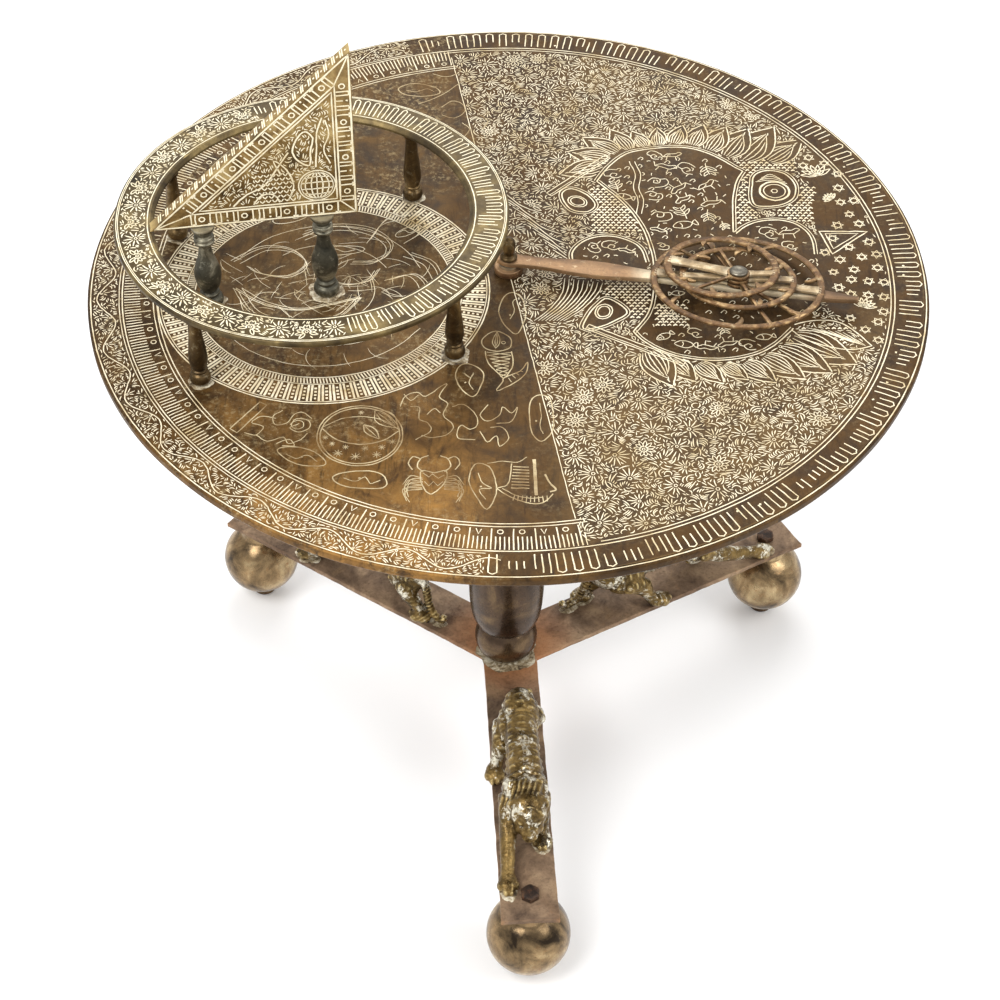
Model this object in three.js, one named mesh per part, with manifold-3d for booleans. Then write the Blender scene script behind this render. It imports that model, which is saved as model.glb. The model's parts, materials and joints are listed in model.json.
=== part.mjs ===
// Engraved brass astronomical table: a round top on a turned column and a three-armed base,
// with a raised dial ring, a triangular gnomon and a pivoted arm that carries three openwork rings.
// Millimetres, +Z up. The origin is on the floor, under the centre of the round top.

import * as THREE from "three";
import { mergeVertices } from "three/addons/utils/BufferGeometryUtils.js";
import Module from "manifold-3d";

const wasm = await Module();
wasm.setup();

// ---------- driving dimensions ----------

const GAP = 0.3; // between pieces that touch
const HEIGHT = 497; // floor to the engraved surface

// Round top
const TOP_RADIUS = 300;
const TOP_SHEET = 3;
const RIM_DEPTH = 7; // the rim is turned down by this much
const RIM_WALL = 3.5;

// Three-armed base
const BASE_HUB = [2.7, -1.8]; // where the arms meet, a little beside the column's axis
const ARM_WIDTH = 45;
const PLATE_BOTTOM = 83;
const PLATE_THICK = 5;
const PLATE_TOP = PLATE_BOTTOM + PLATE_THICK;
const BALL_RADIUS = 33.2;
const BALL_CENTRE = 43; // height of the ball's centre
const NECK_RADIUS = 15; // short neck between the ball and the plate
const STUB_RADIUS = 10.5;
const BOLT_SETBACK = 3; // the bolt stands this much inside the ball's axis
const BOLT_SIDE = 1; // and this much beside it
const BOLT_ACROSS = 17; // across the corners of the hexagon head
const ARMS = [
  { name: "front", angle: -86.6, foot: 256, side: 0, end: 275.5 },
  { name: "left", angle: 145.9, foot: 265.2, side: 4.9, end: 286 },
  { name: "right", angle: 29.5, foot: 260.6, side: -2.6, end: 282.4 },
]; // side is how far the ball stands beside the arm's centre line
const LEOPARD_PLACE = 145; // from the hub to the middle of the leopard

// Column and tie rod
const ROD_RADIUS = 3;
const ROD_HOLE = 3.4;
const FOOT_TOP = 119.5;
const BODY_TOP = 288;
const NECK_TOP = 484;
const FLANGE_RADIUS = 75;

// Raised dial ring
const RING_CENTRE = [-136, -19.7];
const RING_OUTER = 136.2;
const RING_INNER = 108.8;
const RING_TOP = 69.2; // above the table
const RING_THICK = 4.6;
const RING_COLUMNS = [
  { name: "ring_column_front_left", radius: 122.5, angle: -127 },
  { name: "ring_column_front_right", radius: 121.5, angle: -35.5 },
  { name: "ring_column_back_right", radius: 122, angle: 57.8 },
  { name: "ring_column_back_left", radius: 119, angle: 151.5 },
];

// Gnomon
const GNOMON_TURN = 9; // degrees from +X
const GNOMON_ORIGIN = [-129, -23]; // axis of the right-hand column
const GNOMON_COLUMN_STEP = 82; // between the two columns
const GNOMON_BOTTOM = 70; // above the table
const GNOMON_HEIGHT = 133;
const GNOMON_LEFT = -117.6; // along the plate, from the right-hand column
const GNOMON_RIGHT = 24.8;
const GNOMON_THICK = 10;
const GNOMON_SETBACK = 2.5; // the plate's middle lies this much behind the columns

// Arm and pivot
const ARM_TURN = -9.8; // degrees from +X at rest
const ARM_BOTTOM = 8.1; // above the table
const ARM_THICK = 3.6;
const ARM_LENGTH = 249;
const ARM_TWIST = 9; // degrees about its own length, from the pivot out to the rings
const HUB_PLACE = 163.5; // from the pivot to the rings' hub
const FINIAL_BORE = 5.5; // the rod ends this deep in the finial

// Openwork rings
const RETE_THICK = 2.2;
const RETE_STEP = 3.2; // from one ring to the next along the hub
const RIVET_RADIUS = 2.6;
const RIVET_HOLE = 3;
const WASHER_RADIUS = 6.5;

const rad = THREE.MathUtils.degToRad;
const group = new THREE.Group();

// ---------- finishes ----------

const finish = (color, roughness, metalness) => ({ color, roughness, metalness });
const IRON = finish(0x4a342a, 0.75, 0.7);
const DARK_BRONZE = finish(0x4b4030, 0.4, 0.9);
const OLD_BRASS = finish(0x7a6636, 0.45, 0.9);
const GREY_BRONZE = finish(0x4a4a42, 0.45, 0.9);
const ENGRAVED = finish(0x6e5a3c, 0.55, 0.8);
const COPPER = finish(0xa5623a, 0.5, 0.85);
const STEEL = finish(0x77746c, 0.5, 0.9);

// ---------- shape helpers ----------

// A closed geometry as a manifold solid.
function toSolid(geometry) {
  const bare = geometry.clone();
  bare.deleteAttribute("normal");
  bare.deleteAttribute("uv");
  const merged = mergeVertices(bare, 1e-4);
  return new wasm.Manifold(
    new wasm.Mesh({
      numProp: 3,
      vertProperties: merged.attributes.position.array,
      triVerts: new Uint32Array(merged.index.array),
    }),
  );
}

// A manifold solid as a geometry.
function toGeometry(solid) {
  const mesh = solid.getMesh();
  const geometry = new THREE.BufferGeometry();
  geometry.setAttribute("position", new THREE.BufferAttribute(mesh.vertProperties, 3));
  geometry.setIndex(new THREE.BufferAttribute(mesh.triVerts, 1));
  geometry.computeVertexNormals();
  return geometry;
}

const joined = (geometries) =>
  toGeometry(geometries.map(toSolid).reduce((all, one) => all.add(one)));

const cut = (geometry, tools) =>
  toGeometry(tools.map(toSolid).reduce((left, tool) => left.subtract(tool), toSolid(geometry)));

// A turned piece about +Z. Points are [radius, height] from the bottom up; with a bore the
// section closes on itself round the hole.
function turned(points, segments, bore = 0) {
  const section = points.map(([r, z]) => new THREE.Vector2(r, z));
  const low = points[0][1];
  const high = points[points.length - 1][1];
  section.unshift(new THREE.Vector2(bore, low));
  section.push(new THREE.Vector2(bore, high));
  if (bore > 0) {
    section.push(new THREE.Vector2(bore, low));
  }
  return new THREE.LatheGeometry(section, segments).rotateX(Math.PI / 2);
}

// Smooth stretch of a turned outline through a few points.
const smooth = (points, steps) =>
  new THREE.SplineCurve(points.map(([r, z]) => new THREE.Vector2(r, z)))
    .getPoints(steps)
    .map((p) => [p.x, p.y]);

const extruded = (outline, depth, curveSegments = 12) =>
  new THREE.ExtrudeGeometry(outline, { depth, bevelEnabled: false, curveSegments });

const polygon = (points) => new THREE.Shape(points.map(([x, y]) => new THREE.Vector2(x, y)));

const rod = (radius, length, sides = 16) =>
  new THREE.CylinderGeometry(radius, radius, length, sides).rotateX(Math.PI / 2);

function add(name, geometry, look, parent = group) {
  const mesh = new THREE.Mesh(geometry, new THREE.MeshStandardMaterial(look));
  mesh.name = name;
  parent.add(mesh);
  return mesh;
}

// A frame for what stands on the table, at a place and a turn about +Z.
function tableFrame([x, y], turn = 0) {
  const frame = new THREE.Group();
  frame.position.set(x, y, HEIGHT);
  frame.rotation.z = rad(turn);
  group.add(frame);
  return frame;
}

// ---------- base ----------

function buildBasePlate() {
  const bars = ARMS.map(({ angle, end }) => {
    const half = ARM_WIDTH / 2;
    const outline = polygon([[-half * 0.5, -half], [end, -half], [end, half], [-half * 0.5, half]]);
    return extruded(outline, PLATE_THICK)
      .rotateZ(rad(angle))
      .translate(BASE_HUB[0], BASE_HUB[1], PLATE_BOTTOM);
  });
  const boltHoles = ARMS.map(({ angle, foot, side }) =>
    rod(4.5, 3 * PLATE_THICK)
      .translate(foot - BOLT_SETBACK, side + BOLT_SIDE, 0)
      .rotateZ(rad(angle))
      .translate(BASE_HUB[0], BASE_HUB[1], PLATE_BOTTOM),
  );
  const rodHole = rod(ROD_HOLE, 3 * PLATE_THICK).translate(0, 0, PLATE_BOTTOM);
  add("base_plate", cut(joined(bars), [...boltHoles, rodHole]), IRON);
}

// Ball, stub and bolt at the end of one arm, in that arm's own frame.
function buildFoot(arm, frame) {
  const flatTop = PLATE_BOTTOM - GAP;
  const flatBottom = BALL_CENTRE - 31.5;
  const highest = Math.acos((NECK_RADIUS + 1) / BALL_RADIUS);
  const lowest = Math.asin((flatBottom - BALL_CENTRE) / BALL_RADIUS);
  const rows = 7;
  const outline = [];
  for (let i = 0; i <= rows; i += 1) {
    const a = lowest + ((highest - lowest) * i) / rows;
    outline.push([BALL_RADIUS * Math.cos(a), BALL_CENTRE + BALL_RADIUS * Math.sin(a)]);
  }
  outline.push([NECK_RADIUS, BALL_CENTRE + BALL_RADIUS * Math.sin(highest) + 2]);
  outline.push([NECK_RADIUS, flatTop]);
  const boltHole = rod(4.4, 40, 10).translate(-BOLT_SETBACK, BOLT_SIDE, flatTop);
  const ball = cut(turned(outline, 18), [boltHole]).translate(arm.foot, arm.side, 0);
  add("ball_foot_" + arm.name, ball, DARK_BRONZE, frame);

  const stub = turned([[STUB_RADIUS - 1.5, 0], [STUB_RADIUS, 1.5], [STUB_RADIUS, flatBottom - GAP]], 16);
  add("foot_stub_" + arm.name, stub.translate(arm.foot, arm.side, 0), DARK_BRONZE, frame);

  const head = new THREE.CylinderGeometry(BOLT_ACROSS / 2, BOLT_ACROSS / 2, 6, 6)
    .rotateX(Math.PI / 2)
    .translate(0, 0, PLATE_TOP + GAP + 3);
  const shank = rod(4, PLATE_THICK + 17, 8).translate(0, 0, PLATE_TOP + 1 - (PLATE_THICK + 17) / 2);
  const bolt = joined([head, shank]).translate(arm.foot - BOLT_SETBACK, arm.side + BOLT_SIDE, 0);
  add("foot_bolt_" + arm.name, bolt, IRON, frame);
}

// A round-ended limb between two points, thinner toward its end.
function limb(from, to, r0, r1) {
  const a = new THREE.Vector3(...from);
  const b = new THREE.Vector3(...to);
  const along = new THREE.Vector3().subVectors(b, a);
  const geometry = new THREE.CylinderGeometry(r1, r0, along.length(), 5);
  geometry.applyQuaternion(
    new THREE.Quaternion().setFromUnitVectors(new THREE.Vector3(0, 1, 0), along.clone().normalize()),
  );
  return geometry.translate((a.x + b.x) / 2, (a.y + b.y) / 2, (a.z + b.z) / 2);
}

const lump = ([x, y, z], [rx, ry, rz], turn = 0) =>
  new THREE.SphereGeometry(1, 7, 5).scale(rx, ry, rz).rotateZ(rad(turn)).translate(x, y, z);

// A leopard walking along +X with its feet on z = 0: long stretched paw on its right side.
function leopardGeometry() {
  const pieces = [
    lump([-8, 2, 36], [56, 18, 16]),
    lump([-44, 3, 33], [22, 19, 19]),
    lump([36, 2, 35], [22, 19, 17]),
    lump([54, 3, 32], [20, 16, 14]),
    limb([42, -11, 30], [92, -15.5, 6], 9, 5.2),
    lump([98, -15.5, 5], [11, 7, 5.6]),
    limb([36, 13, 28], [52, 13.5, 6], 8.5, 5.5),
    lump([57, 13.5, 5], [11, 7.5, 5.5]),
    limb([-32, -13, 28], [-16, -18, 5], 9, 5.5),
    lump([-10, -20, 5], [11, 7, 5.5]),
    limb([-46, 13, 26], [-65, 16, 5], 9, 5),
    lump([-65, 16.5, 5], [11, 7, 5.5]),
    limb([-60, 5, 36], [-69, 10, 11], 5, 3.6),
    limb([-68, 10, 13], [-84, 12, 4.5], 3.8, 3.4),
    lump([-85, 12, 5], [5, 4.2, 5]),
  ];
  const underside = new THREE.BoxGeometry(260, 120, 20).translate(0, 0, -10 + GAP);
  return cut(joined(pieces), [underside]);
}

function buildBase() {
  buildBasePlate();
  ARMS.forEach((arm) => {
    const frame = new THREE.Group();
    frame.position.set(BASE_HUB[0], BASE_HUB[1], 0);
    frame.rotation.z = rad(arm.angle);
    group.add(frame);
    buildFoot(arm, frame);
    const leopard = leopardGeometry().translate(LEOPARD_PLACE, 0, PLATE_TOP);
    add("leopard_" + arm.name, leopard, OLD_BRASS, frame);
  });
}

// ---------- column ----------

function buildColumn() {
  const bun = [[19, PLATE_TOP + GAP], [24, 92], [25.8, 100], [25, 109], [18, FOOT_TOP]];
  const foot = smooth(bun, 7);
  add("column_foot", turned(foot, 20, ROD_HOLE), DARK_BRONZE);

  const egg = smooth(
    [[17, FOOT_TOP + GAP], [26, 126], [29.8, 145], [30.8, 168], [28.5, 205], [22, 245], [13, 276]],
    9,
  );
  const bodyCollar = [[17, 279], [18, 283], [16, BODY_TOP]];
  add("column_body", turned([...egg, ...bodyCollar], 20, ROD_HOLE), DARK_BRONZE);

  const shaft = smooth([[12, 300], [16.5, 325], [17.5, 355], [14, 400], [10.5, 445]], 6);
  const neck = [[15, BODY_TOP + GAP], [17, 292], [13, 297], ...shaft, [15, 452], [15, 457], [11, 462]];
  const capital = [[13, 470], [21, 480], [22, NECK_TOP]];
  add("column_neck", turned([...neck, ...capital], 18, ROD_HOLE), DARK_BRONZE);

  const underTop = HEIGHT - TOP_SHEET - GAP;
  const flange = [[30, NECK_TOP + GAP], [34, 488], [FLANGE_RADIUS - 2, 491], [FLANGE_RADIUS, 492]];
  add("column_flange", turned([...flange, [FLANGE_RADIUS, underTop]], 24, ROD_HOLE), DARK_BRONZE);

  const rodLow = PLATE_BOTTOM - 14;
  const rodHigh = HEIGHT + ARM_BOTTOM + ARM_THICK + FINIAL_BORE - 0.5;
  const tieRod = rod(ROD_RADIUS, rodHigh - rodLow, 16).translate(0, 0, (rodHigh + rodLow) / 2);
  add("tie_rod", tieRod, STEEL);

  const washer = turned([[11, PLATE_BOTTOM - GAP - 2], [11, PLATE_BOTTOM - GAP]], 24, ROD_HOLE);
  add("tie_rod_washer", washer, STEEL);
  const nutTop = PLATE_BOTTOM - 2 * GAP - 2;
  const nut = rod(7.5, 6, 6).translate(0, 0, nutTop - 3);
  add("tie_rod_nut", cut(nut, [rod(ROD_HOLE, 20).translate(0, 0, nutTop)]), STEEL);
}

// ---------- top ----------

function buildTop() {
  const under = HEIGHT - TOP_SHEET;
  const inside = TOP_RADIUS - RIM_WALL;
  const section = [
    [inside, under],
    [inside, HEIGHT - RIM_DEPTH],
    [TOP_RADIUS, HEIGHT - RIM_DEPTH],
    [TOP_RADIUS, HEIGHT - 1],
    [TOP_RADIUS - 1, HEIGHT],
    [TOP_RADIUS - 25, HEIGHT],
    [120, HEIGHT],
    [ROD_HOLE, HEIGHT],
    [ROD_HOLE, under],
    [inside, under],
  ];
  const outline = section.map(([r, z]) => new THREE.Vector2(r, z));
  add("table_top", new THREE.LatheGeometry(outline, 72).rotateX(Math.PI / 2), ENGRAVED);
}

function buildDial() {
  const frame = tableFrame(RING_CENTRE);
  const low = RING_TOP - RING_THICK;
  const section = [
    [RING_OUTER, low],
    [RING_OUTER, RING_TOP - 0.8],
    [RING_OUTER - 0.8, RING_TOP],
    [RING_INNER + 3, RING_TOP],
    [RING_INNER, low],
    [RING_OUTER, low],
  ];
  const outline = section.map(([r, z]) => new THREE.Vector2(r, z));
  const ring = new THREE.LatheGeometry(outline, 60).rotateX(Math.PI / 2);
  add("dial_ring", ring, OLD_BRASS, frame);

  const base = [[6, GAP], [7.3, 2.5], [7.3, 6], [4.8, 10]];
  const belly = smooth([[5.6, 13.5], [6.5, 19], [6.2, 27], [4.4, 42], [3.9, 54]], 4);
  const capital = [[5.4, 57], [4.6, 60], [5.8, low - GAP]];
  RING_COLUMNS.forEach(({ name, radius, angle }) => {
    const post = turned([...base, ...belly, ...capital], 10);
    post.translate(radius * Math.cos(rad(angle)), radius * Math.sin(rad(angle)), 0);
    add(name, post, DARK_BRONZE, frame);
  });
}

function buildGnomon() {
  const frame = tableFrame(GNOMON_ORIGIN, GNOMON_TURN);
  const base = [[7.5, GAP], [9, 2.5], [9, 5.5], [6.4, 9], [5.4, 12]];
  const bulb = smooth([[6, 14], [9.2, 22], [9, 31], [5.4, 41], [4.3, 49]], 5);
  const cup = [[7, 56], [7, 58.5], [5, 60.5], [8.2, 67], [8.2, GNOMON_BOTTOM - GAP]];
  [0, -GNOMON_COLUMN_STEP].forEach((place, i) => {
    const post = turned([...base, ...bulb, ...cup], 14).translate(place, 0, 0);
    add(["gnomon_column_right", "gnomon_column_left"][i], post, GREY_BRONZE, frame);
  });

  // The outline is drawn in the plate's own plane, then stood up.
  const outline = polygon([[GNOMON_LEFT, 0], [GNOMON_RIGHT, 0], [GNOMON_RIGHT, GNOMON_HEIGHT]]);
  const plate = extruded(outline, GNOMON_THICK)
    .translate(0, 0, -GNOMON_THICK / 2)
    .rotateX(Math.PI / 2)
    .translate(0, GNOMON_SETBACK, GNOMON_BOTTOM);
  add("gnomon_plate", plate, OLD_BRASS, frame);
}

// ---------- arm and rings ----------

function buildPivot() {
  const frame = tableFrame([0, 0]);
  const spacerTop = 5.5;
  const washerTop = ARM_BOTTOM - GAP;
  add("pivot_spacer", turned([[10.4, GAP], [10.4, spacerTop]], 28, ROD_HOLE), COPPER, frame);
  const washer = turned([[7, spacerTop + GAP], [7, washerTop]], 24, ROD_HOLE);
  add("pivot_washer", washer, STEEL, frame);
  const low = ARM_BOTTOM + ARM_THICK + GAP;
  const flange = [[5.8, low], [6.2, low + 1.4], [4.5, low + 3], [4.4, low + 6]];
  const knob = smooth([[4.1, low + 7.5], [4.9, low + 11], [4.4, low + 15], [2, low + 18]], 4);
  const bore = rod(ROD_HOLE, 2 * FINIAL_BORE, 10).translate(0, 0, low);
  const finial = cut(turned([...flange, ...knob], 16), [bore]);
  add("pivot_finial", finial, DARK_BRONZE, frame);
}

// Half the width of the arm at a distance from the pivot.
const ARM_HALF_WIDTHS = [
  [-8, 3], [0, 6.2], [12, 5.2], [30, 5.6], [50, 8], [70, 8.6], [92, 6.6], [112, 5.6],
  [150, 6], [163.5, 7], [177, 6], [205, 5.6], [225, 5.4], [240, 3.6], [ARM_LENGTH, 2],
];

function buildArm(frame) {
  const side = new THREE.SplineCurve(ARM_HALF_WIDTHS.map(([x, y]) => new THREE.Vector2(x, y)));
  const upper = side.getPoints(22);
  const lower = upper.map((p) => new THREE.Vector2(p.x, -p.y)).reverse();
  const blank = extruded(new THREE.Shape([...upper, ...lower]), ARM_THICK);
  const holes = [rod(ROD_HOLE, 30), rod(RIVET_HOLE, 30).translate(HUB_PLACE, 0, 0)];
  const arm = cut(blank, holes);
  // The arm is twisted about its own length between the pivot and the rings.
  const place = arm.getAttribute("position");
  for (let i = 0; i < place.count; i += 1) {
    const x = place.getX(i);
    const share = THREE.MathUtils.smoothstep(x, 14, 100);
    const a = rad(-ARM_TWIST * share);
    const y = place.getY(i);
    const z = place.getZ(i) - ARM_THICK / 2;
    place.setY(i, y * Math.cos(a) - z * Math.sin(a));
    place.setZ(i, y * Math.sin(a) + z * Math.cos(a) + ARM_THICK / 2);
  }
  arm.computeVertexNormals();
  add("alidade_arm", arm.translate(0, 0, ARM_BOTTOM), COPPER, frame);
}

// One flat openwork ring round the hub: a rim, straight spokes and the hub's own disc.
function openRing({ outer, band, offset, spokes }) {
  const rim = turned([[outer, 0], [outer, RETE_THICK]], 36, outer - band);
  const hub = turned([[8, 0], [8, RETE_THICK]], 14);
  const bars = spokes.map(({ angle, length, width }) => {
    const half = width / 2;
    const bar = polygon([[0, -half], [length, -half], [length, half], [0, half]]);
    return extruded(bar, RETE_THICK).rotateZ(rad(angle));
  });
  const hole = rod(RIVET_HOLE, 20);
  return cut(joined([rim.translate(offset[0], offset[1], 0), hub, ...bars]), [hole]);
}

function buildRete(frame) {
  // The hub leans with the twisted arm; the rings lie square to it.
  const hub = new THREE.Group();
  hub.position.set(HUB_PLACE, 0, ARM_BOTTOM + ARM_THICK / 2);
  hub.rotation.x = rad(-ARM_TWIST);
  frame.add(hub);
  const first = ARM_THICK / 2 + RETE_STEP - RETE_THICK;
  const rings = [
    {
      name: "rete_large", outer: 61.5, band: 5, offset: [0, 0],
      spokes: [
        { angle: 0, length: 59, width: 9 }, { angle: 180, length: 59, width: 9 },
        { angle: -38, length: 59, width: 3 }, { angle: -62, length: 59, width: 3 },
        { angle: 118, length: 59, width: 3 }, { angle: 142, length: 59, width: 3 },
      ],
    },
    {
      name: "rete_middle", outer: 41.5, band: 4.6, offset: [0, 0],
      spokes: [
        { angle: 8, length: 39, width: 7 }, { angle: 188, length: 39, width: 7 },
        { angle: -65, length: 39, width: 2.6 }, { angle: 115, length: 39, width: 2.6 },
      ],
    },
    {
      name: "rete_small", outer: 41, band: 5.6, offset: [-12.5, 7],
      spokes: [
        { angle: 14, length: 26, width: 6 }, { angle: 170, length: 51, width: 10 },
        { angle: -136, length: 40, width: 2.6 },
      ],
    },
  ];
  rings.forEach((ring, i) => {
    const low = first + i * RETE_STEP;
    const washerLow = low - RETE_STEP + RETE_THICK + GAP;
    const washer = turned([[WASHER_RADIUS, washerLow], [WASHER_RADIUS, low - GAP]], 16, RIVET_HOLE);
    add(["rete_washer_low", "rete_washer_mid", "rete_washer_top"][i], washer, STEEL, hub);
    add(ring.name, openRing(ring).translate(0, 0, low), OLD_BRASS, hub);
  });
  const headLow = first + 2 * RETE_STEP + RETE_THICK + GAP;
  const low = -ARM_THICK / 2 - GAP;
  const head = turned([[6.4, headLow], [6.2, headLow + 1.4], [3.5, headLow + 2.6]], 20);
  const shank = rod(RIVET_RADIUS, headLow - low + 0.5, 14).translate(0, 0, (headLow + low + 0.5) / 2);
  const foot = turned([[5, low - 1.2], [5, low]], 16);
  add("rete_rivet", joined([head, shank, foot]), STEEL, hub);
}

function buildPointer() {
  buildPivot();
  const frame = tableFrame([0, 0], ARM_TURN);
  buildArm(frame);
  buildRete(frame);
}

buildBase();
buildColumn();
buildTop();
buildDial();
buildGnomon();
buildPointer();

export default group;
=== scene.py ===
import json
import math

import bpy
import bmesh
import numpy as np
from bpy.props import FloatProperty, FloatVectorProperty, PointerProperty
from mathutils import Matrix, Vector


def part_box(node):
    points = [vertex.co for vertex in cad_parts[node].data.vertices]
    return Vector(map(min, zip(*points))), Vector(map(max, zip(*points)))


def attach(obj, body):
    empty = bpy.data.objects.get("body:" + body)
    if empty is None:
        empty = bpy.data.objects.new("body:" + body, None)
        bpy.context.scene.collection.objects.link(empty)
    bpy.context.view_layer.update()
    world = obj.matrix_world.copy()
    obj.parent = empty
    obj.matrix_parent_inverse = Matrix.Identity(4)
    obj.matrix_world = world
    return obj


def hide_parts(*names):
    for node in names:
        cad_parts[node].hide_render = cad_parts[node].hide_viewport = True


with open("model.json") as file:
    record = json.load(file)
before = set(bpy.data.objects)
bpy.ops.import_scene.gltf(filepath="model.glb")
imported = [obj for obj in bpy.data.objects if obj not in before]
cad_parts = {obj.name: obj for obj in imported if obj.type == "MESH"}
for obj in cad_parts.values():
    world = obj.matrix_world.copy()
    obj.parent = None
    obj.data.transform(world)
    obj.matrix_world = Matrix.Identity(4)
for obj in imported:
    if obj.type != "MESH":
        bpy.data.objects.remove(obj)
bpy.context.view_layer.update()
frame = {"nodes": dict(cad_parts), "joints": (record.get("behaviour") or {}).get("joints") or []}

bl_info = {
    "name": "Engraved Astronomical Table",
    "version": (1, 0, 0),
    "blender": (4, 5, 0),
    "location": "View3D > Sidebar > Astro Table",
    "description": "Builds the engraved brass table with its dial, gnomon, pointer and leopard base",
    "category": "Object",
}

MM = 0.001
TINY = 1e-9  # keeps a division by a length of zero harmless


# ---------- places taken from the frame, in millimetres ----------

def node_box(node):
    low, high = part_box(node)
    return np.array(low) / MM, np.array(high) / MM


def node_centre(node):
    low, high = node_box(node)
    return (low + high) / 2


def node_height(node):
    low, high = node_box(node)
    return float(high[2] - low[2])


TOP_HIGH = node_box("table_top")[1]
TOP_Z = float(TOP_HIGH[2])
TOP_RADIUS = float(TOP_HIGH[0])
RING_LOW, RING_HIGH = node_box("dial_ring")
RING_CENTRE = node_centre("dial_ring")[:2]
RING_OUTER = float(RING_HIGH[0] - RING_LOW[0]) / 2
RING_BAND = 27.4
PLATE_LOW, PLATE_HIGH = node_box("base_plate")
GNOMON_LOW, GNOMON_HIGH = node_box("gnomon_plate")
GNOMON_TALL = node_height("gnomon_plate")
GNOMON_FOOT = node_centre("gnomon_column_right")[:2]
GNOMON_LINE = GNOMON_FOOT - node_centre("gnomon_column_left")[:2]
GNOMON_ANGLE = math.atan2(GNOMON_LINE[1], GNOMON_LINE[0])
HUB_JOINT = next(j for j in frame["joints"] if j["name"] == "rete_large_turn")
HUB = np.array(HUB_JOINT["pos_m"]) / MM
HUB_AXIS = np.array(HUB_JOINT["axis"], float)
ARM_ANGLE = math.atan2(HUB[1], HUB[0])
ARM_NAMES = ("front", "left", "right")
BASE_HUB = np.array([2.7, -1.8])
ARM_WIDTH = 45.0
ARM_TURNS = {"front": (-86.6, 275.5), "left": (145.9, 286.0), "right": (29.5, 282.4)}


def toward(angle):
    """The level direction at an angle in radians."""
    return np.array([math.cos(angle), math.sin(angle)])


def left_of(directions):
    """Level directions turned a quarter turn to the left."""
    d = np.asarray(directions)
    return np.stack([-d[..., 1], d[..., 0]], axis=-1)


def unit(vectors):
    """The same directions with a length of one."""
    return vectors / (np.linalg.norm(vectors, axis=-1, keepdims=True) + TINY)


def spun(points, angle):
    """Points turned about the origin by an angle in radians."""
    return np.asarray(points, float) @ np.array([toward(angle), left_of(toward(angle))])


def arm_axis(name):
    """Direction and length of one arm of the base, from the hub."""
    degrees, length = ARM_TURNS[name]
    return toward(math.radians(degrees)), length


# ---------- curves and smooth noise ----------

def curve_through(points, steps=6, closed=False):
    """A smooth curve through points, as an array."""
    p = np.array(points, float)
    if closed:
        ext = np.vstack([p[-1:], p, p[:2]])
    else:
        ext = np.vstack([2 * p[:1] - p[1:2], p, 2 * p[-1:] - p[-2:-1]])
    t = (np.arange(steps) / steps)[:, None]
    out = []
    for a, b, c, d in zip(ext, ext[1:], ext[2:], ext[3:]):
        out.append(0.5 * (2 * b + (c - a) * t + (2 * a - 5 * b + 4 * c - d) * t ** 2
                          + (3 * b - a - 3 * c + d) * t ** 3))
    if not closed:
        out.append(p[-1:])
    return np.vstack(out)


def arc(cx, cy, radius, a0, a1, steps=None):
    """Points on an arc, angles in degrees."""
    if steps is None:
        steps = max(3, int(abs(a1 - a0) * radius / 130) + 2)
    a = np.radians(np.linspace(a0, a1, steps))
    return np.column_stack([cx + radius * np.cos(a), cy + radius * np.sin(a)])


def ripple(points, size, seed, octaves=3):
    """Smooth repeatable noise between about -1 and 1 at points, with features of a given size."""
    rng = np.random.default_rng(seed)
    total = np.zeros(len(points))
    weight = 1.0
    for _ in range(octaves):
        for _ in range(4):
            k = rng.normal(size=points.shape[1])
            k *= 2 * math.pi / (size * np.linalg.norm(k))
            total += weight * np.sin(points @ k + rng.uniform(0, 2 * math.pi)) / 4
        size *= 0.5
        weight *= 0.5
    return total


# ---------- mesh making ----------

def to_object(name, verts, faces, material, body, smooth=True, sharp=35.0):
    """A mesh object from points in millimetres, riding on a CAD body."""
    mesh = bpy.data.meshes.new(name)
    mesh.from_pydata(np.asarray(verts, float) * MM, [], faces)
    mesh.validate()
    mesh.materials.append(material)
    mesh.polygons.foreach_set("use_smooth", np.full(len(mesh.polygons), smooth))
    if smooth and sharp:
        mesh.set_sharp_from_angle(angle=math.radians(sharp))
    mesh.update()
    piece = bpy.data.objects.new(name, mesh)
    bpy.context.scene.collection.objects.link(piece)
    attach(piece, body)
    return piece


def tube_faces(rows, count, closed=False):
    """Faces between rows of points. An open tube gets a face at each end."""
    faces = []
    for i in range(rows if closed else rows - 1):
        j = (i + 1) % rows
        for s in range(count):
            e = (s + 1) % count
            faces.append((i * count + s, i * count + e, j * count + e, j * count + s))
    if not closed:
        faces.append(tuple(range(count))[::-1])
        faces.append(tuple((rows - 1) * count + s for s in range(count)))
    return faces


def lathe(profile, segments, closed=False):
    """Points and faces of a turned shape. A closed profile goes round a bore."""
    profile = np.asarray(profile, float)
    a = np.linspace(0, 2 * math.pi, segments, endpoint=False)
    ring = np.column_stack([np.cos(a), np.sin(a)])
    verts = np.concatenate([np.column_stack([r * ring, np.full(segments, z)]) for r, z in profile])
    return verts, tube_faces(len(profile), segments, closed)


def soft_corner(points, size=0.5, steps=3):
    """A polyline profile with its inner corners rounded off."""
    p = np.array(points, float)
    out = [p[0]]
    for before, at, after in zip(p, p[1:], p[2:]):
        u = before - at
        v = after - at
        cut = min(size, 0.45 * np.linalg.norm(u), 0.45 * np.linalg.norm(v))
        a = at + unit(u) * cut
        b = at + unit(v) * cut
        for t in np.linspace(0, 1, steps + 1):
            out.append((1 - t) ** 2 * a + 2 * t * (1 - t) * at + t ** 2 * b)
    out.append(p[-1])
    return np.array(out)


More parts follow.
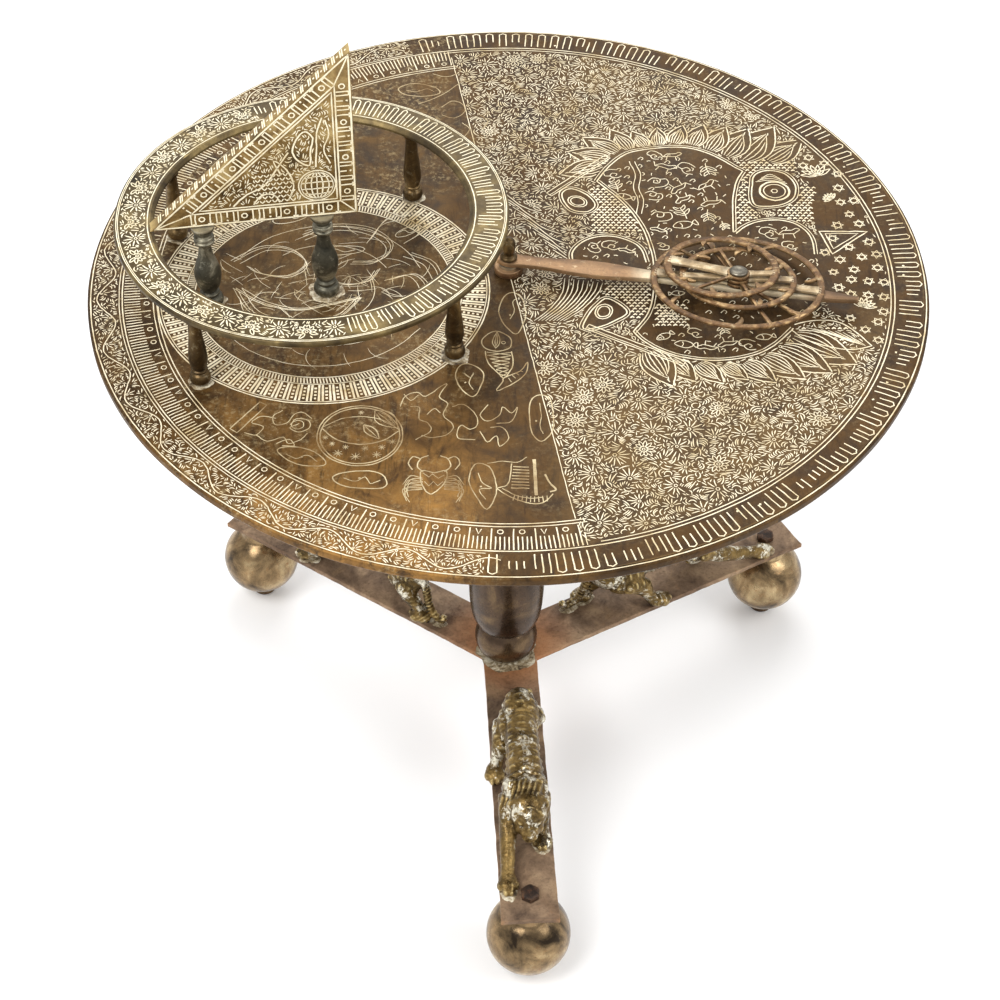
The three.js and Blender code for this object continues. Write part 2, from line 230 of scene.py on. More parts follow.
def turned_piece(node, profile, material, segments=64, wobble=0.0, seed=1):
    """A slightly uneven turned piece in place of a CAD node. Its profile starts at the node's foot."""
    verts, faces = lathe(np.asarray(profile, float) + (0, node_box(node)[0][2]), segments)
    if wobble:
        swell = 1 + wobble * ripple(verts, 22.0, seed)
        verts[:, :2] *= swell[:, None]
    verts[:, :2] += node_centre(node)[:2]
    piece = to_object("turned_" + node, verts, faces, material, "root")
    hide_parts(node)


def slab(outline, low, high, bevel=0.6):
    """Points and faces of a flat bar with eased edges, from its outline."""
    p = np.asarray(outline, float)
    inward = left_of(unit(np.roll(p, -1, 0) - np.roll(p, 1, 0)))
    rows = [(bevel, low), (0.3 * bevel, low + 0.3 * bevel), (0, low + bevel),
            (0, high - bevel), (0.3 * bevel, high - 0.3 * bevel), (bevel, high)]
    verts = np.concatenate([np.column_stack([p + inward * inset, np.full(len(p), z)]) for inset, z in rows])
    return verts, tube_faces(len(rows), len(p))


# ---------- materials ----------

FILLING = (240, 228, 198)
PATINA = (74, 52, 26)


def srgb(red, green, blue):
    """A colour given as 0 to 255 screen values, as linear RGBA."""
    linear = [c / 12.92 if c <= 0.04045 else ((c + 0.055) / 1.055) ** 2.4
              for c in (red / 255, green / 255, blue / 255)]
    return (*linear, 1.0)


class Finish:
    """A procedural material, built up node by node in the object's own coordinates."""

    def __init__(self, name):
        self.material = bpy.data.materials.new(name)
        self.material.use_nodes = True
        self.tree = self.material.node_tree
        self.tree.nodes.clear()
        self.shader = self.tree.nodes.new("ShaderNodeBsdfPrincipled")
        out = self.tree.nodes.new("ShaderNodeOutputMaterial")
        self.tree.links.new(self.shader.outputs[0], out.inputs["Surface"])
        self.place = self.tree.nodes.new("ShaderNodeTexCoord").outputs["Object"]

    def link(self, socket, value):
        if isinstance(value, bpy.types.NodeSocket):
            self.tree.links.new(value, socket)
        elif value is not None:
            socket.default_value = value

    def node(self, kind, inputs, output=0, **settings):
        made = self.tree.nodes.new(kind)
        for key, value in settings.items():
            setattr(made, key, value)
        for key, value in inputs.items():
            self.link(made.inputs[key], value)
        return made.outputs[output]

    def noise(self, size_mm, detail=4.0, rough=0.6, warp=0.0, stretch=None):
        """Cloudy noise with features of about a size."""
        place = self.place
        if stretch:
            place = self.node("ShaderNodeMapping", {"Vector": place, "Scale": stretch})
        return self.node("ShaderNodeTexNoise", {
            "Vector": place, "Scale": 1 / (size_mm * MM), "Detail": detail, "Roughness": rough,
            "Distortion": warp})

    def ramp(self, value, *stops):
        """Maps a value through (position, grey or colour) stops."""
        made = self.tree.nodes.new("ShaderNodeValToRGB")
        self.link(made.inputs[0], value)
        band = made.color_ramp.elements
        while len(band) < len(stops):
            band.new(0.5)
        for element, (at, colour) in zip(band, stops):
            element.position = at
            element.color = colour if isinstance(colour, tuple) else (colour, colour, colour, 1.0)
        return made.outputs[0]

    def mix(self, share, first, second, blend="MIX"):
        return self.node("ShaderNodeMixRGB", {"Fac": share, "Color1": first, "Color2": second},
                         blend_type=blend)

    def maths(self, kind, first, second=None, clamp=False):
        inputs = {0: first}
        if second is not None:
            inputs[1] = second
        return self.node("ShaderNodeMath", inputs, operation=kind, use_clamp=clamp)

    def convex_edges(self, low=0.52, high=0.6):
        pointy = self.tree.nodes.new("ShaderNodeNewGeometry").outputs["Pointiness"]
        return self.ramp(pointy, (low, 0.0), (high, 1.0))

    def split(self):
        made = self.tree.nodes.new("ShaderNodeSeparateXYZ")
        self.link(made.inputs[0], self.place)
        return made.outputs

    def distance(self, x, y):
        """Distance of a point in a level plane from its origin."""
        flat = self.node("ShaderNodeCombineXYZ", {0: x, 1: y})
        return self.node("ShaderNodeVectorMath", {0: flat}, "Value", operation="LENGTH")

    def surface(self, colour, roughness, metallic, bump=None, depth_mm=0.1):
        """Sets what the shader shows. Bump is a height pattern, 0 to 1, of a depth."""
        self.link(self.shader.inputs["Base Color"], colour)
        self.link(self.shader.inputs["Roughness"], roughness)
        self.shader.inputs["Metallic"].default_value = metallic
        if bump is not None:
            made = self.tree.nodes.new("ShaderNodeBump")
            made.inputs["Strength"].default_value = 1.0
            made.inputs["Distance"].default_value = depth_mm * MM
            self.link(made.inputs["Height"], bump)
            self.tree.links.new(made.outputs[0], self.shader.inputs["Normal"])
        return self.material


def patina(name, dark, base, bright, metallic=0.75, rough=(0.34, 0.6), cloud=26.0, bump=0.12,
           wear=(0.53, 0.62), dust=None):
    """Old cast or turned brass: cloudy patina, dark pits, bright worn edges and fine scratches."""
    f = Finish(name)
    cloud_noise = f.noise(cloud, 6, 0.62, 0.6)
    fine = f.noise(2.2, 5, 0.7)
    streak = f.noise(9.0, 4, 0.6, 0.2, (1.0, 1.0, 0.22))
    colour = f.ramp(cloud_noise, (0.3, dark), (0.52, base), (0.72, bright))
    colour = f.mix(f.ramp(streak, (0.35, 0.0), (0.75, 0.4)), colour, dark)
    colour = f.mix(f.ramp(fine, (0.55, 0.0), (0.8, 0.7)), colour, dark)
    colour = f.mix(f.convex_edges(*wear), colour, bright)
    if dust:
        speck = f.maths("MULTIPLY", f.ramp(f.noise(5.0, 5, 0.75), (0.56, 0.0), (0.7, 1.0)),
                        f.ramp(cloud_noise, (0.35, 0.0), (0.65, 0.8)))
        colour = f.mix(speck, colour, dust)
    roughness = f.ramp(f.noise(7.0, 5, 0.65), (0.3, rough[0]), (0.75, rough[1]))
    height = f.mix(0.5, fine, f.noise(0.8, 3, 0.5))
    return f.surface(colour, roughness, metallic, height, bump)


def make_materials(settings):
    """All finishes, by name."""
    m = {}
    m["dark_bronze"] = patina("dark_bronze", srgb(40, 30, 24), srgb(86, 68, 52), srgb(146, 120, 84),
                              0.8, (0.16, 0.38), 46.0, 0.08)
    m["ball_bronze"] = patina("ball_bronze", srgb(48, 38, 27), srgb(156, 130, 94), srgb(216, 192, 148),
                              0.85, (0.16, 0.42), 26.0, 0.08, dust=srgb(140, 94, 52))
    m["leopard_brass"] = leopard_finish()
    m["column_brass"] = patina("column_brass", srgb(44, 33, 20), srgb(96, 76, 46), srgb(156, 130, 86),
                               0.8, (0.28, 0.5), 24.0, 0.08, dust=srgb(186, 176, 146))
    m["grey_bronze"] = patina("grey_bronze", srgb(38, 38, 32), srgb(88, 84, 70), srgb(190, 182, 158),
                              0.75, (0.3, 0.55), 20.0, 0.1, (0.52, 0.6), srgb(206, 200, 176))
    m["steel"] = patina("steel", srgb(70, 66, 58), srgb(112, 106, 94), srgb(160, 152, 134), 0.8, (0.3, 0.5),
                        8.0)
    m["bolt_iron"] = patina("bolt_iron", srgb(26, 20, 16), srgb(62, 46, 36), srgb(112, 82, 58), 0.5,
                            (0.5, 0.75),
                            6.0, 0.5, dust=srgb(128, 78, 48))
    m["copper"] = copper_finish()
    m["rete_bronze"] = patina("rete_bronze", srgb(54, 38, 24), srgb(124, 92, 58), srgb(196, 164, 116),
                              0.7, (0.34, 0.55), 9.0, 0.14, dust=srgb(206, 192, 154))
    m["rete_worn"] = patina("rete_worn", srgb(82, 62, 42), srgb(172, 148, 110), srgb(230, 216, 184),
                            0.55, (0.36, 0.58), 12.0, 0.14, dust=srgb(226, 216, 188))
    m["rusty_iron"] = rusty_iron_finish()
    m["engraved_brass"] = engraved_brass_finish(settings)
    m["ring_brass"] = patina("ring_brass", srgb(48, 38, 21), srgb(94, 78, 46), srgb(146, 126, 80),
                             0.6, (0.38, 0.58), 26.0, 0.1, (0.55, 0.62))
    m["gnomon_brass"] = patina("gnomon_brass", srgb(58, 42, 20), srgb(140, 110, 60), srgb(204, 178, 120),
                               0.45, (0.4, 0.62), 15.0, 0.12, dust=srgb(74, 52, 26))
    m["chalk"] = chalk_finish("chalk", srgb(*FILLING), srgb(190, 166, 116), 0.4)
    m["chalk"].node_tree.nodes["filling"].outputs[0].default_value = (*settings.filling, 1.0)
    m["chalk_bright"] = chalk_finish("chalk_bright", srgb(246, 236, 206), srgb(212, 190, 140), 0.36)
    m["chalk_faint"] = chalk_finish("chalk_faint", srgb(212, 196, 156), srgb(138, 112, 72), 0.5)
    m["solder"] = solder_finish()
    m["groove_dark"] = chalk_finish("groove_dark", srgb(44, 34, 24), srgb(64, 50, 34), 0.5)
    return m


def leopard_finish():
    """Cast brass: olive skin, near black in the hollows, pale worn edges that are partly real wear and partly
    a painted highlight, with whitish deposit that gathers in places.
    """
    f = Finish("leopard_brass")
    cloud = f.noise(24.0, 6, 0.64, 0.6)
    fine = f.noise(2.0, 5, 0.7)
    colour = f.ramp(cloud, (0.3, srgb(46, 36, 18)), (0.5, srgb(104, 82, 42)), (0.72, srgb(160, 132, 78)))
    hollow = f.ramp(f.tree.nodes.new("ShaderNodeNewGeometry").outputs["Pointiness"], (0.44, 1.0),
                    (0.495, 0.0))
    colour = f.mix(hollow, colour, srgb(28, 21, 12))
    # convex edges lightened: partly real wear, partly a painted highlight standing in for the glint of light
    # on the cast
    colour = f.mix(f.convex_edges(0.515, 0.57), colour, srgb(216, 192, 134))
    patch = f.ramp(f.noise(17.0, 6, 0.72, 0.4), (0.53, 0.0), (0.59, 1.0))
    grit = f.ramp(f.noise(3.2, 4, 0.7), (0.4, 0.0), (0.52, 1.0))
    colour = f.mix(f.maths("MULTIPLY", patch, grit), colour, srgb(230, 224, 204))
    colour = f.mix(f.ramp(fine, (0.56, 0.0), (0.78, 0.6)), colour, srgb(40, 31, 18))
    return f.surface(colour, f.ramp(cloud, (0.3, 0.22), (0.7, 0.42)), 0.75, f.mix(0.5, fine, grit), 0.3)


def solder_finish():
    """Grey-white solder, thin and stained toward its edge."""
    f = Finish("solder")
    patch = f.noise(7.0, 6, 0.72, 0.6)
    fine = f.noise(1.6, 4, 0.7)
    colour = f.ramp(patch, (0.4, srgb(74, 58, 40)), (0.5, srgb(158, 140, 108)), (0.62, srgb(222, 214, 192)))
    colour = f.mix(f.ramp(fine, (0.52, 0.0), (0.72, 0.6)), colour, srgb(96, 78, 54))
    return f.surface(colour, 0.6, 0.1, f.mix(0.5, patch, fine), 0.4)


def copper_finish():
    """Worn copper-coloured brass with pale rubbed patches toward the rings."""
    f = Finish("copper")
    blotch = f.noise(16.0, 6, 0.66, 0.5)
    fine = f.noise(1.8, 4, 0.65)
    colour = f.ramp(blotch, (0.3, srgb(86, 60, 38)), (0.5, srgb(124, 92, 62)), (0.72, srgb(158, 124, 88)))
    colour = f.mix(f.ramp(fine, (0.5, 0.0), (0.78, 0.75)), colour, srgb(78, 54, 36))
    x = f.split()[0]
    rubbed = f.maths("MULTIPLY", f.ramp(x, (0.085, 0.0), (0.105, 1.0), (0.2, 1.0), (0.222, 0.0)),
                     f.ramp(blotch, (0.34, 0.25), (0.52, 1.0)))
    colour = f.mix(rubbed, colour, srgb(222, 212, 184))
    scuff = f.ramp(f.noise(5.0, 5, 0.75, 0.3), (0.6, 0.0), (0.7, 0.7))
    colour = f.mix(scuff, colour, srgb(214, 196, 160))
    colour = f.mix(f.convex_edges(), colour, srgb(214, 180, 140))
    colour = f.mix(f.ramp(x, (0.214, 0.0), (0.228, 0.55)), colour, srgb(70, 50, 32))
    return f.surface(colour, f.ramp(blotch, (0.3, 0.34), (0.7, 0.56)), 0.7, f.mix(0.5, fine, blotch), 0.2)


def rusty_iron_finish():
    """Flat bar: dark brown skin, orange rust round the middle and along the edges."""
    f = Finish("rusty_iron")
    blotch = f.noise(34.0, 7, 0.66, 0.4)
    fine = f.noise(2.6, 6, 0.72)
    colour = f.ramp(blotch, (0.34, srgb(58, 46, 37)), (0.52, srgb(130, 108, 86)), (0.7, srgb(182, 156, 124)))
    x, y, _ = f.split()
    rust = f.maths("MULTIPLY", f.ramp(f.distance(x, y), (0.03, 1.0), (0.062, 0.0)),
                   f.ramp(blotch, (0.3, 0.5), (0.55, 1.0)))
    colour = f.mix(f.maths("MULTIPLY", rust, 0.8), colour, srgb(170, 112, 66))
    spots = f.ramp(f.noise(9.0, 6, 0.7), (0.62, 0.0), (0.76, 0.55))
    colour = f.mix(spots, colour, srgb(150, 100, 60))
    bare = f.ramp(f.noise(42.0, 6, 0.7, 0.5), (0.56, 0.0), (0.68, 0.8))
    colour = f.mix(bare, colour, srgb(146, 120, 88))
    colour = f.mix(f.convex_edges(0.52, 0.62), colour, srgb(160, 118, 80))
    colour = f.mix(f.ramp(fine, (0.52, 0.0), (0.8, 0.6)), colour, srgb(40, 32, 28))
    return f.surface(colour, f.ramp(fine, (0.3, 0.5), (0.7, 0.8)), 0.35, f.mix(0.4, fine, blotch), 0.35)


MEDALLION_MIDDLE = (0.152, 0.022)  # metres, on the round top
MEDALLION_SQUEEZE = 0.9


def engraved_brass_finish(settings):
    """The top's ground: dark brown patina, golden in the plain half and paler under the leaves."""
    f = Finish("engraved_brass")
    large = f.noise(110.0, 5, 0.6, 0.5)
    blotch = f.noise(24.0, 7, 0.68, 0.7)
    grain = f.noise(7.0, 5, 0.7, 0.8, (1.0, 0.2, 1.0))
    fine = f.noise(1.4, 5, 0.7)
    x, y, _ = f.split()
    plain = f.ramp(f.maths("MULTIPLY", x, -1.0), (0.0, 0.0), (0.05, 1.0))
    lighter = f.maths("MULTIPLY", f.ramp(large, (0.36, 0.0), (0.62, 1.0)),
                      f.maths("ADD", f.maths("MULTIPLY", plain, 0.7), 0.3))
    skin = f.mix(lighter, (*settings.patina, 1.0), srgb(104, 78, 44))
    colour = f.mix(f.ramp(blotch, (0.34, 0.85), (0.6, 0.0)), skin, srgb(36, 26, 14))
    low_left = f.maths("MULTIPLY", f.ramp(f.maths("MULTIPLY", x, -1.0), (0.0, 0.1), (0.05, 1.0)),
                       f.ramp(f.maths("MULTIPLY", y, -1.0), (0.06, 0.0), (0.2, 1.0)))
    golden = f.maths("MULTIPLY", f.ramp(large, (0.36, 0.35), (0.56, 1.0)), low_left)
    warm = f.ramp(blotch, (0.35, srgb(98, 68, 34)), (0.65, srgb(166, 122, 62)))
    colour = f.mix(f.maths("MULTIPLY", golden, 0.85), colour, warm)
    colour = f.mix(f.ramp(grain, (0.5, 0.0), (0.68, 0.8)), colour, srgb(46, 32, 18))
    colour = f.mix(f.ramp(fine, (0.55, 0.0), (0.75, 0.5)), colour, srgb(34, 25, 15))
    haze = f.maths("MULTIPLY", f.ramp(f.noise(3.2, 6, 0.78), (0.5, 0.0), (0.7, 0.8)),
                   f.ramp(f.noise(46.0, 5, 0.66, 0.8), (0.44, 0.0), (0.6, 1.0)))
    haze = f.maths("MULTIPLY", haze, f.maths("ADD", f.maths("MULTIPLY", plain, 0.8), 0.25))
    colour = f.mix(haze, colour, srgb(172, 152, 112))
    medallion_x = f.maths("MULTIPLY", f.maths("SUBTRACT", x, MEDALLION_MIDDLE[0]), MEDALLION_SQUEEZE)
    medallion_y = f.maths("SUBTRACT", y, MEDALLION_MIDDLE[1])
    outside = f.ramp(f.distance(medallion_x, medallion_y), (0.108, 0.0), (0.128, 1.0))
    leafy = f.maths("MULTIPLY", outside, f.ramp(x, (0.02, 0.0), (0.05, 1.0)))
    leafy = f.maths("MULTIPLY", leafy, f.ramp(blotch, (0.36, 0.05), (0.62, 0.4)))
    leafy = f.maths("MULTIPLY", leafy, f.ramp(f.distance(x, y), (0.268, 1.0), (0.274, 0.0)))
    colour = f.mix(leafy, colour, srgb(116, 95, 62))
    colour = f.mix(f.convex_edges(0.54, 0.66), colour, srgb(176, 144, 90))
    f.shader.inputs["Specular IOR Level"].default_value = 0.15
    return f.surface(colour, f.ramp(blotch, (0.3, 0.36), (0.7, 0.62)), 0.4, f.mix(0.5, fine, grain), 0.18)


def chalk_finish(name, bright, dull, worn):
    """Pale filling in the cut lines, thinner and browner in patches."""
    f = Finish(name)
    patch = f.noise(20.0, 5, 0.6, 0.4)
    fine = f.noise(1.6, 4, 0.7)
    filling = f.tree.nodes.new("ShaderNodeRGB")
    filling.name = "filling"
    filling.outputs[0].default_value = bright
    colour = f.mix(f.ramp(patch, (worn - 0.12, 1.0), (worn + 0.16, 0.0)), filling.outputs[0], dull)
    colour = f.mix(f.ramp(fine, (0.52, 0.0), (0.72, 0.7)), colour, dull)
    return f.surface(colour, 0.72, 0.0, fine, 0.08)


# ---------- stage ----------

CAMERA_PLACE = (-5.54, -1282.18, 1077.94)
CAMERA_DOWN = 45.687
CAMERA_ROLL = 0.221
CAMERA_LENS = 83.72


def build_stage(lens):
    """The camera, the pale floor, the world's light and three soft lamps."""
    scene = bpy.context.scene
    camera = bpy.data.objects.new("camera", bpy.data.cameras.new("camera"))
    camera.data.lens = lens
    camera.data.sensor_width = 36.0
    camera.data.clip_end = 50.0
    place = Vector(CAMERA_PLACE) + Vector((0, 0, TOP_Z))
    turn = Matrix.Rotation(math.radians(90 - CAMERA_DOWN), 4,
                           "X") @ Matrix.Rotation(math.radians(CAMERA_ROLL), 4, "Z")
    camera.matrix_world = Matrix.Translation(place * MM) @ turn
    scene.collection.objects.link(camera)
    scene.camera = camera

    mesh = bpy.data.meshes.new("floor")
    shape = bmesh.new()
    bmesh.ops.create_grid(shape, x_segments=12, y_segments=12, size=9.0)
    shape.to_mesh(mesh)
    shape.free()
    f = Finish("studio_floor")
    tone = f.ramp(f.noise(900.0, 2, 0.5), (0.3, srgb(246, 246, 246)), (0.7, srgb(252, 252, 252)))
    mesh.materials.append(f.surface(tone, 0.9, 0.0))
    floor = bpy.data.objects.new("floor", mesh)
    scene.collection.objects.link(floor)

    world = bpy.data.worlds.new("studio")
    scene.world = world
    world.use_nodes = True
    world.node_tree.nodes["Background"].inputs["Color"].default_value = (1.0, 1.0, 1.0, 1.0)
    world.node_tree.nodes["Background"].inputs["Strength"].default_value = 0.85
    for name, at, size, power in (("key", (-1.1, -1.2, 2.5), 1.2, 46.0),
                                  ("fill", (1.7, -0.7, 1.9), 1.4, 22.0),
                                  ("back", (0.2, 1.9, 2.3), 1.6, 26.0)):
        lamp = bpy.data.lights.new(name, "AREA")
        lamp.size = size
        lamp.energy = power
        light = bpy.data.objects.new(name, lamp)
        light.location = at
        light.rotation_euler = (Vector((0, 0, 0.4)) - Vector(at)).to_track_quat("-Z", "Y").to_euler()
        scene.collection.objects.link(light)
    scene.view_settings.view_transform = "Standard"


# ---------- base ----------

DENT_STEP = 3.0  # spacing of the points along the plate's edges
BALL_MIDDLE = 31.5  # height of a ball's centre above its flat foot
BALL_NECK = 16.0  # radius at which a ball runs into its neck


def build_base_plate(materials):
    """The three-armed flat iron plate, its cut edges slightly dented."""
    half = ARM_WIDTH / 2
    order = sorted(ARM_NAMES, key=lambda n: math.atan2(*arm_axis(n)[0][::-1]))
    corners = []
    for i, name in enumerate(order):
        u, length = arm_axis(name)
        v = left_of(u)
        end = BASE_HUB + u * length
        corners += [end - v * half, end + v * half]
        w = arm_axis(order[(i + 1) % 3])[0]
        between = math.acos(float(np.clip(u @ w, -1, 1)))
        middle = unit(u + w)
        corners.append(BASE_HUB + middle * half / math.sin(between / 2))
    outline = []
    for a, b in zip(corners, corners[1:] + corners[:1]):
        count = max(2, int(np.linalg.norm(b - a) / DENT_STEP))
        t = np.linspace(0, 1, count, endpoint=False)[:, None]
        side = a + (b - a) * t
        away = -left_of(unit(b - a))
        dents = -0.35 * (1 + ripple(side, 26.0, 5)) * np.minimum(1, 12 * t[:, 0] * (1 - t[:, 0]))
        outline.append(side + away * dents[:, None])
    verts, faces = slab(np.vstack(outline), PLATE_LOW[2], PLATE_HIGH[2], 0.8)
    plate = to_object("base_plate_iron", verts, faces, materials["rusty_iron"], "root")
    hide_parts("base_plate")


def build_feet(materials):
    """The balls with their flat necks, the stubs that they stand on, and their bolts."""
    for i, name in enumerate(ARM_NAMES):
        low, high = node_box("ball_foot_" + name)
        radius = float(high[0] - low[0]) / 2
        middle = float(low[2]) + BALL_MIDDLE
        a = np.linspace(math.asin(-BALL_MIDDLE / radius), math.acos(BALL_NECK / radius), 40)
        globe = np.column_stack([radius * np.cos(a), middle + radius * np.sin(a)])
        neck = [(15, globe[-1, 1] + 1.4), (14.4, high[2] - 3), (15, high[2])]
        profile = np.vstack([[0.05, globe[0, 1]], globe, neck, [0.05, high[2]]])
        verts, faces = lathe(profile, 72)
        verts[:, :2] *= (1 - 0.004 * (1 + ripple(verts, 30.0, 11 + i)))[:, None]
        verts[:, :2] += (low[:2] + high[:2]) / 2
        ball = to_object("ball_" + name, verts, faces, materials["ball_bronze"], "root")
        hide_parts("ball_foot_" + name)
        stub_low, stub_high = node_box("foot_stub_" + name)
        r = float(stub_high[0] - stub_low[0]) / 2
        top = node_height("foot_stub_" + name)
        stub = [(0.05, 0), (r - 2.2, 0), (r - 0.6, 0.8), (r, 2.4), (r - 0.8, 5), (r - 0.2, 7), (r, top)]
        turned_piece("foot_stub_" + name, np.vstack([soft_corner(stub, 0.7), [0.05, top]]),
                     materials["dark_bronze"], 40)
        build_bolt(name, materials, i)


def build_bolt(name, materials, seed):
    """A rusty hexagon head, its corners knocked down, with a shank through the arm."""
    u = arm_axis(name)[0]
    low, high = node_box("foot_bolt_" + name)
    head_low, head_high = PLATE_HIGH[2] + 0.3, float(high[2])
    turn = math.atan2(u[1], u[0])
    segments = 72
    a = np.linspace(0, 2 * math.pi, segments, endpoint=False)
    hexagon = math.cos(math.pi / 6) / np.cos((a + math.pi) % (math.pi / 3) - math.pi / 6)
    # Each row is (radius, height, how far it follows the hexagon).
    rows = [(4, low[2], 0), (4, head_low - 0.05, 0), (7.6, head_low, 1), (8.2, head_low + 0.8, 1),
            (8.3, head_high - 2.0, 1), (7.6, head_high - 0.7, 0.7), (6.0, head_high - 0.15, 0.3),
            (3.0, head_high - 0.1, 0), (0.4, head_high - 0.3, 0)]
    verts = []
    for r, z, flat in rows:
        radius = r * ((1 - flat) + flat * hexagon)
        verts.append(np.column_stack([radius * np.cos(a + turn), radius * np.sin(a + turn),
                                      np.full(segments, z)]))
    verts = np.concatenate(verts)
    pits = ripple(verts, 4.4, 31 + seed)
    head = verts[:, 2] > head_low - 0.02
    verts[head, :2] *= (1 - 0.055 * (1 + pits[head]))[:, None]
    verts[verts[:, 2] > head_high - 1.0, 2] -= 0.3
    verts[:, :2] += (low[:2] + high[:2]) / 2
    bolt = to_object("bolt_" + name, verts, tube_faces(len(rows), segments), materials["bolt_iron"], "root")
    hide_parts("foot_bolt_" + name)


# ---------- leopards ----------

# Each lump is (centre, radii, turn about Z, turn about Y), in the leopard's own frame:
# +X the way it walks, z = 0 on the plate.
LEOPARD_LUMPS = [
    ((-10, 2, 38), (42, 13.5, 14), 0, 0), ((16, 2, 38.5), (26, 14.5, 14.5), 0, 4),
    ((-44, 2.5, 36.5), (21, 14.5, 15), 0, 10), ((-45, 10.5, 30), (16, 7.5, 14), 6, 0),
    ((-36, -8.5, 31), (17, 8, 14), -8, 0), ((33, 12, 33), (13, 7.5, 15), -6, 0),
    ((34, -8.5, 33), (14, 8, 15), 6, 0), ((38, 3, 40), (13, 12.5, 11.5), 0, 15),
    ((50, 3, 38.5), (12.5, 14, 11), 0, 25), ((56, 3, 34), (12, 14.2, 11.5), 0, 35),
    ((65, 3, 27.5), (8.6, 8.2, 7.4), 0, 48), ((69.5, 3, 23.4), (5.0, 6.2, 4.8), 0, 55),
    ((65, 3, 20.6), (6.4, 5.6, 4.2), 0, 40), ((61, 9.5, 25.5), (6.5, 5.0, 6.2), 0, 30),
    ((61, -3.5, 25.5), (6.5, 5.0, 6.2), 0, 30),
    ((49, 16, 38.5), (4.2, 3.6, 5.6), 25, -10), ((49, -10, 38.5), (4.2, 3.6, 5.6), -25, -10),
]
# Each limb is a chain of (centre, radius).
LEOPARD_LIMBS = [
    [((40, -10.5, 31), 9.5), ((54, -12.5, 22), 7.6), ((70, -14, 14.5), 6.4), ((86, -15, 8.8), 5.6),
     ((95, -15.5, 6), 5.8)],
    [((36, 13, 28), 8.8), ((44, 13.5, 18), 7.0), ((49, 13.5, 10), 5.8), ((54, 13.5, 6), 5.6)],
    [((-34, -11, 29), 9.6), ((-22, -14, 22), 7.6), ((-18, -16.5, 12), 5.4), ((-14, -18.6, 6), 5.4)],
    [((-46, 12, 27), 9.4), ((-53, 14, 18), 7.0), ((-62, 15.6, 11), 5.0), ((-66, 16.6, 6), 5.0)],
    [((-60, 5, 38), 4.4), ((-66, 8.4, 28), 3.9), ((-69, 10, 17), 3.6), ((-73, 11, 8), 3.4),
     ((-80, 12, 4.6), 3.3),
     ((-85, 12.4, 5.4), 3.3), ((-86.5, 12.4, 9), 3.2)],
]
LEOPARD_PAWS = [((98, -15.5), 8.6), ((57, 13.5), 7.6), ((-9, -20), 8.0), ((-66, 17), 7.6)]


def leopard_mesh():
    """The cast animal as one closed mesh, points in millimetres."""
    shape = bmesh.new()

    def blob(centre, radii, turn_z=0.0, turn_y=0.0):
        place = (Matrix.Translation(centre) @ Matrix.Rotation(math.radians(turn_z), 4, "Z")
                 @ Matrix.Rotation(math.radians(turn_y), 4, "Y") @ Matrix.Diagonal((*radii, 1.0)))
        bmesh.ops.create_icosphere(shape, subdivisions=3, radius=1.0, matrix=place)

    for centre, radii, turn_z, turn_y in LEOPARD_LUMPS:
        blob(centre, radii, turn_z, turn_y)
    for chain in LEOPARD_LIMBS:
        for (a, ra), (b, rb) in zip(chain, chain[1:]):
            a, b = np.array(a, float), np.array(b, float)
            count = max(2, int(np.linalg.norm(b - a) / 2.5))
            for t in np.linspace(0, 1, count, endpoint=False):
                r = ra + (rb - ra) * t
                blob(tuple(a + (b - a) * t), (r, r, r))
        end, r = chain[-1]
        blob(end, (r, r, r))
    for (x, y), width in LEOPARD_PAWS:
        blob((x, y, 4.6), (9.5, width * 0.9, 5.4))
        for k in range(4):
            side = (k - 1.5) * width * 0.48
            blob((x + 8.2 - 0.16 * side * side, y + side, 3.6), (4.4, 2.5, 3.7))
    mesh = bpy.data.meshes.new("leopard_blank")
    shape.to_mesh(mesh)
    shape.free()
    blank = bpy.data.objects.new("leopard_blank", mesh)
    bpy.context.scene.collection.objects.link(blank)
    remesh = blank.modifiers.new("skin", "REMESH")
    remesh.mode = "VOXEL"
    remesh.voxel_size = 1.0
    ease = blank.modifiers.new("ease", "SMOOTH")
    ease.iterations = 5
    ease.factor = 0.5
    graph = bpy.context.evaluated_depsgraph_get()
    skin = bpy.data.meshes.new_from_object(blank.evaluated_get(graph), depsgraph=graph)
    count = len(skin.vertices)
    verts = np.empty(count * 3)
    skin.vertices.foreach_get("co", verts)
    normals = np.empty(count * 3)
    skin.vertices.foreach_get("normal", normals)
    faces = [tuple(p.vertices) for p in skin.polygons]
    bpy.data.objects.remove(blank)
    bpy.data.meshes.remove(mesh)
    bpy.data.meshes.remove(skin)
    return leopard_detail(verts.reshape(-1, 3), normals.reshape(-1, 3)), faces


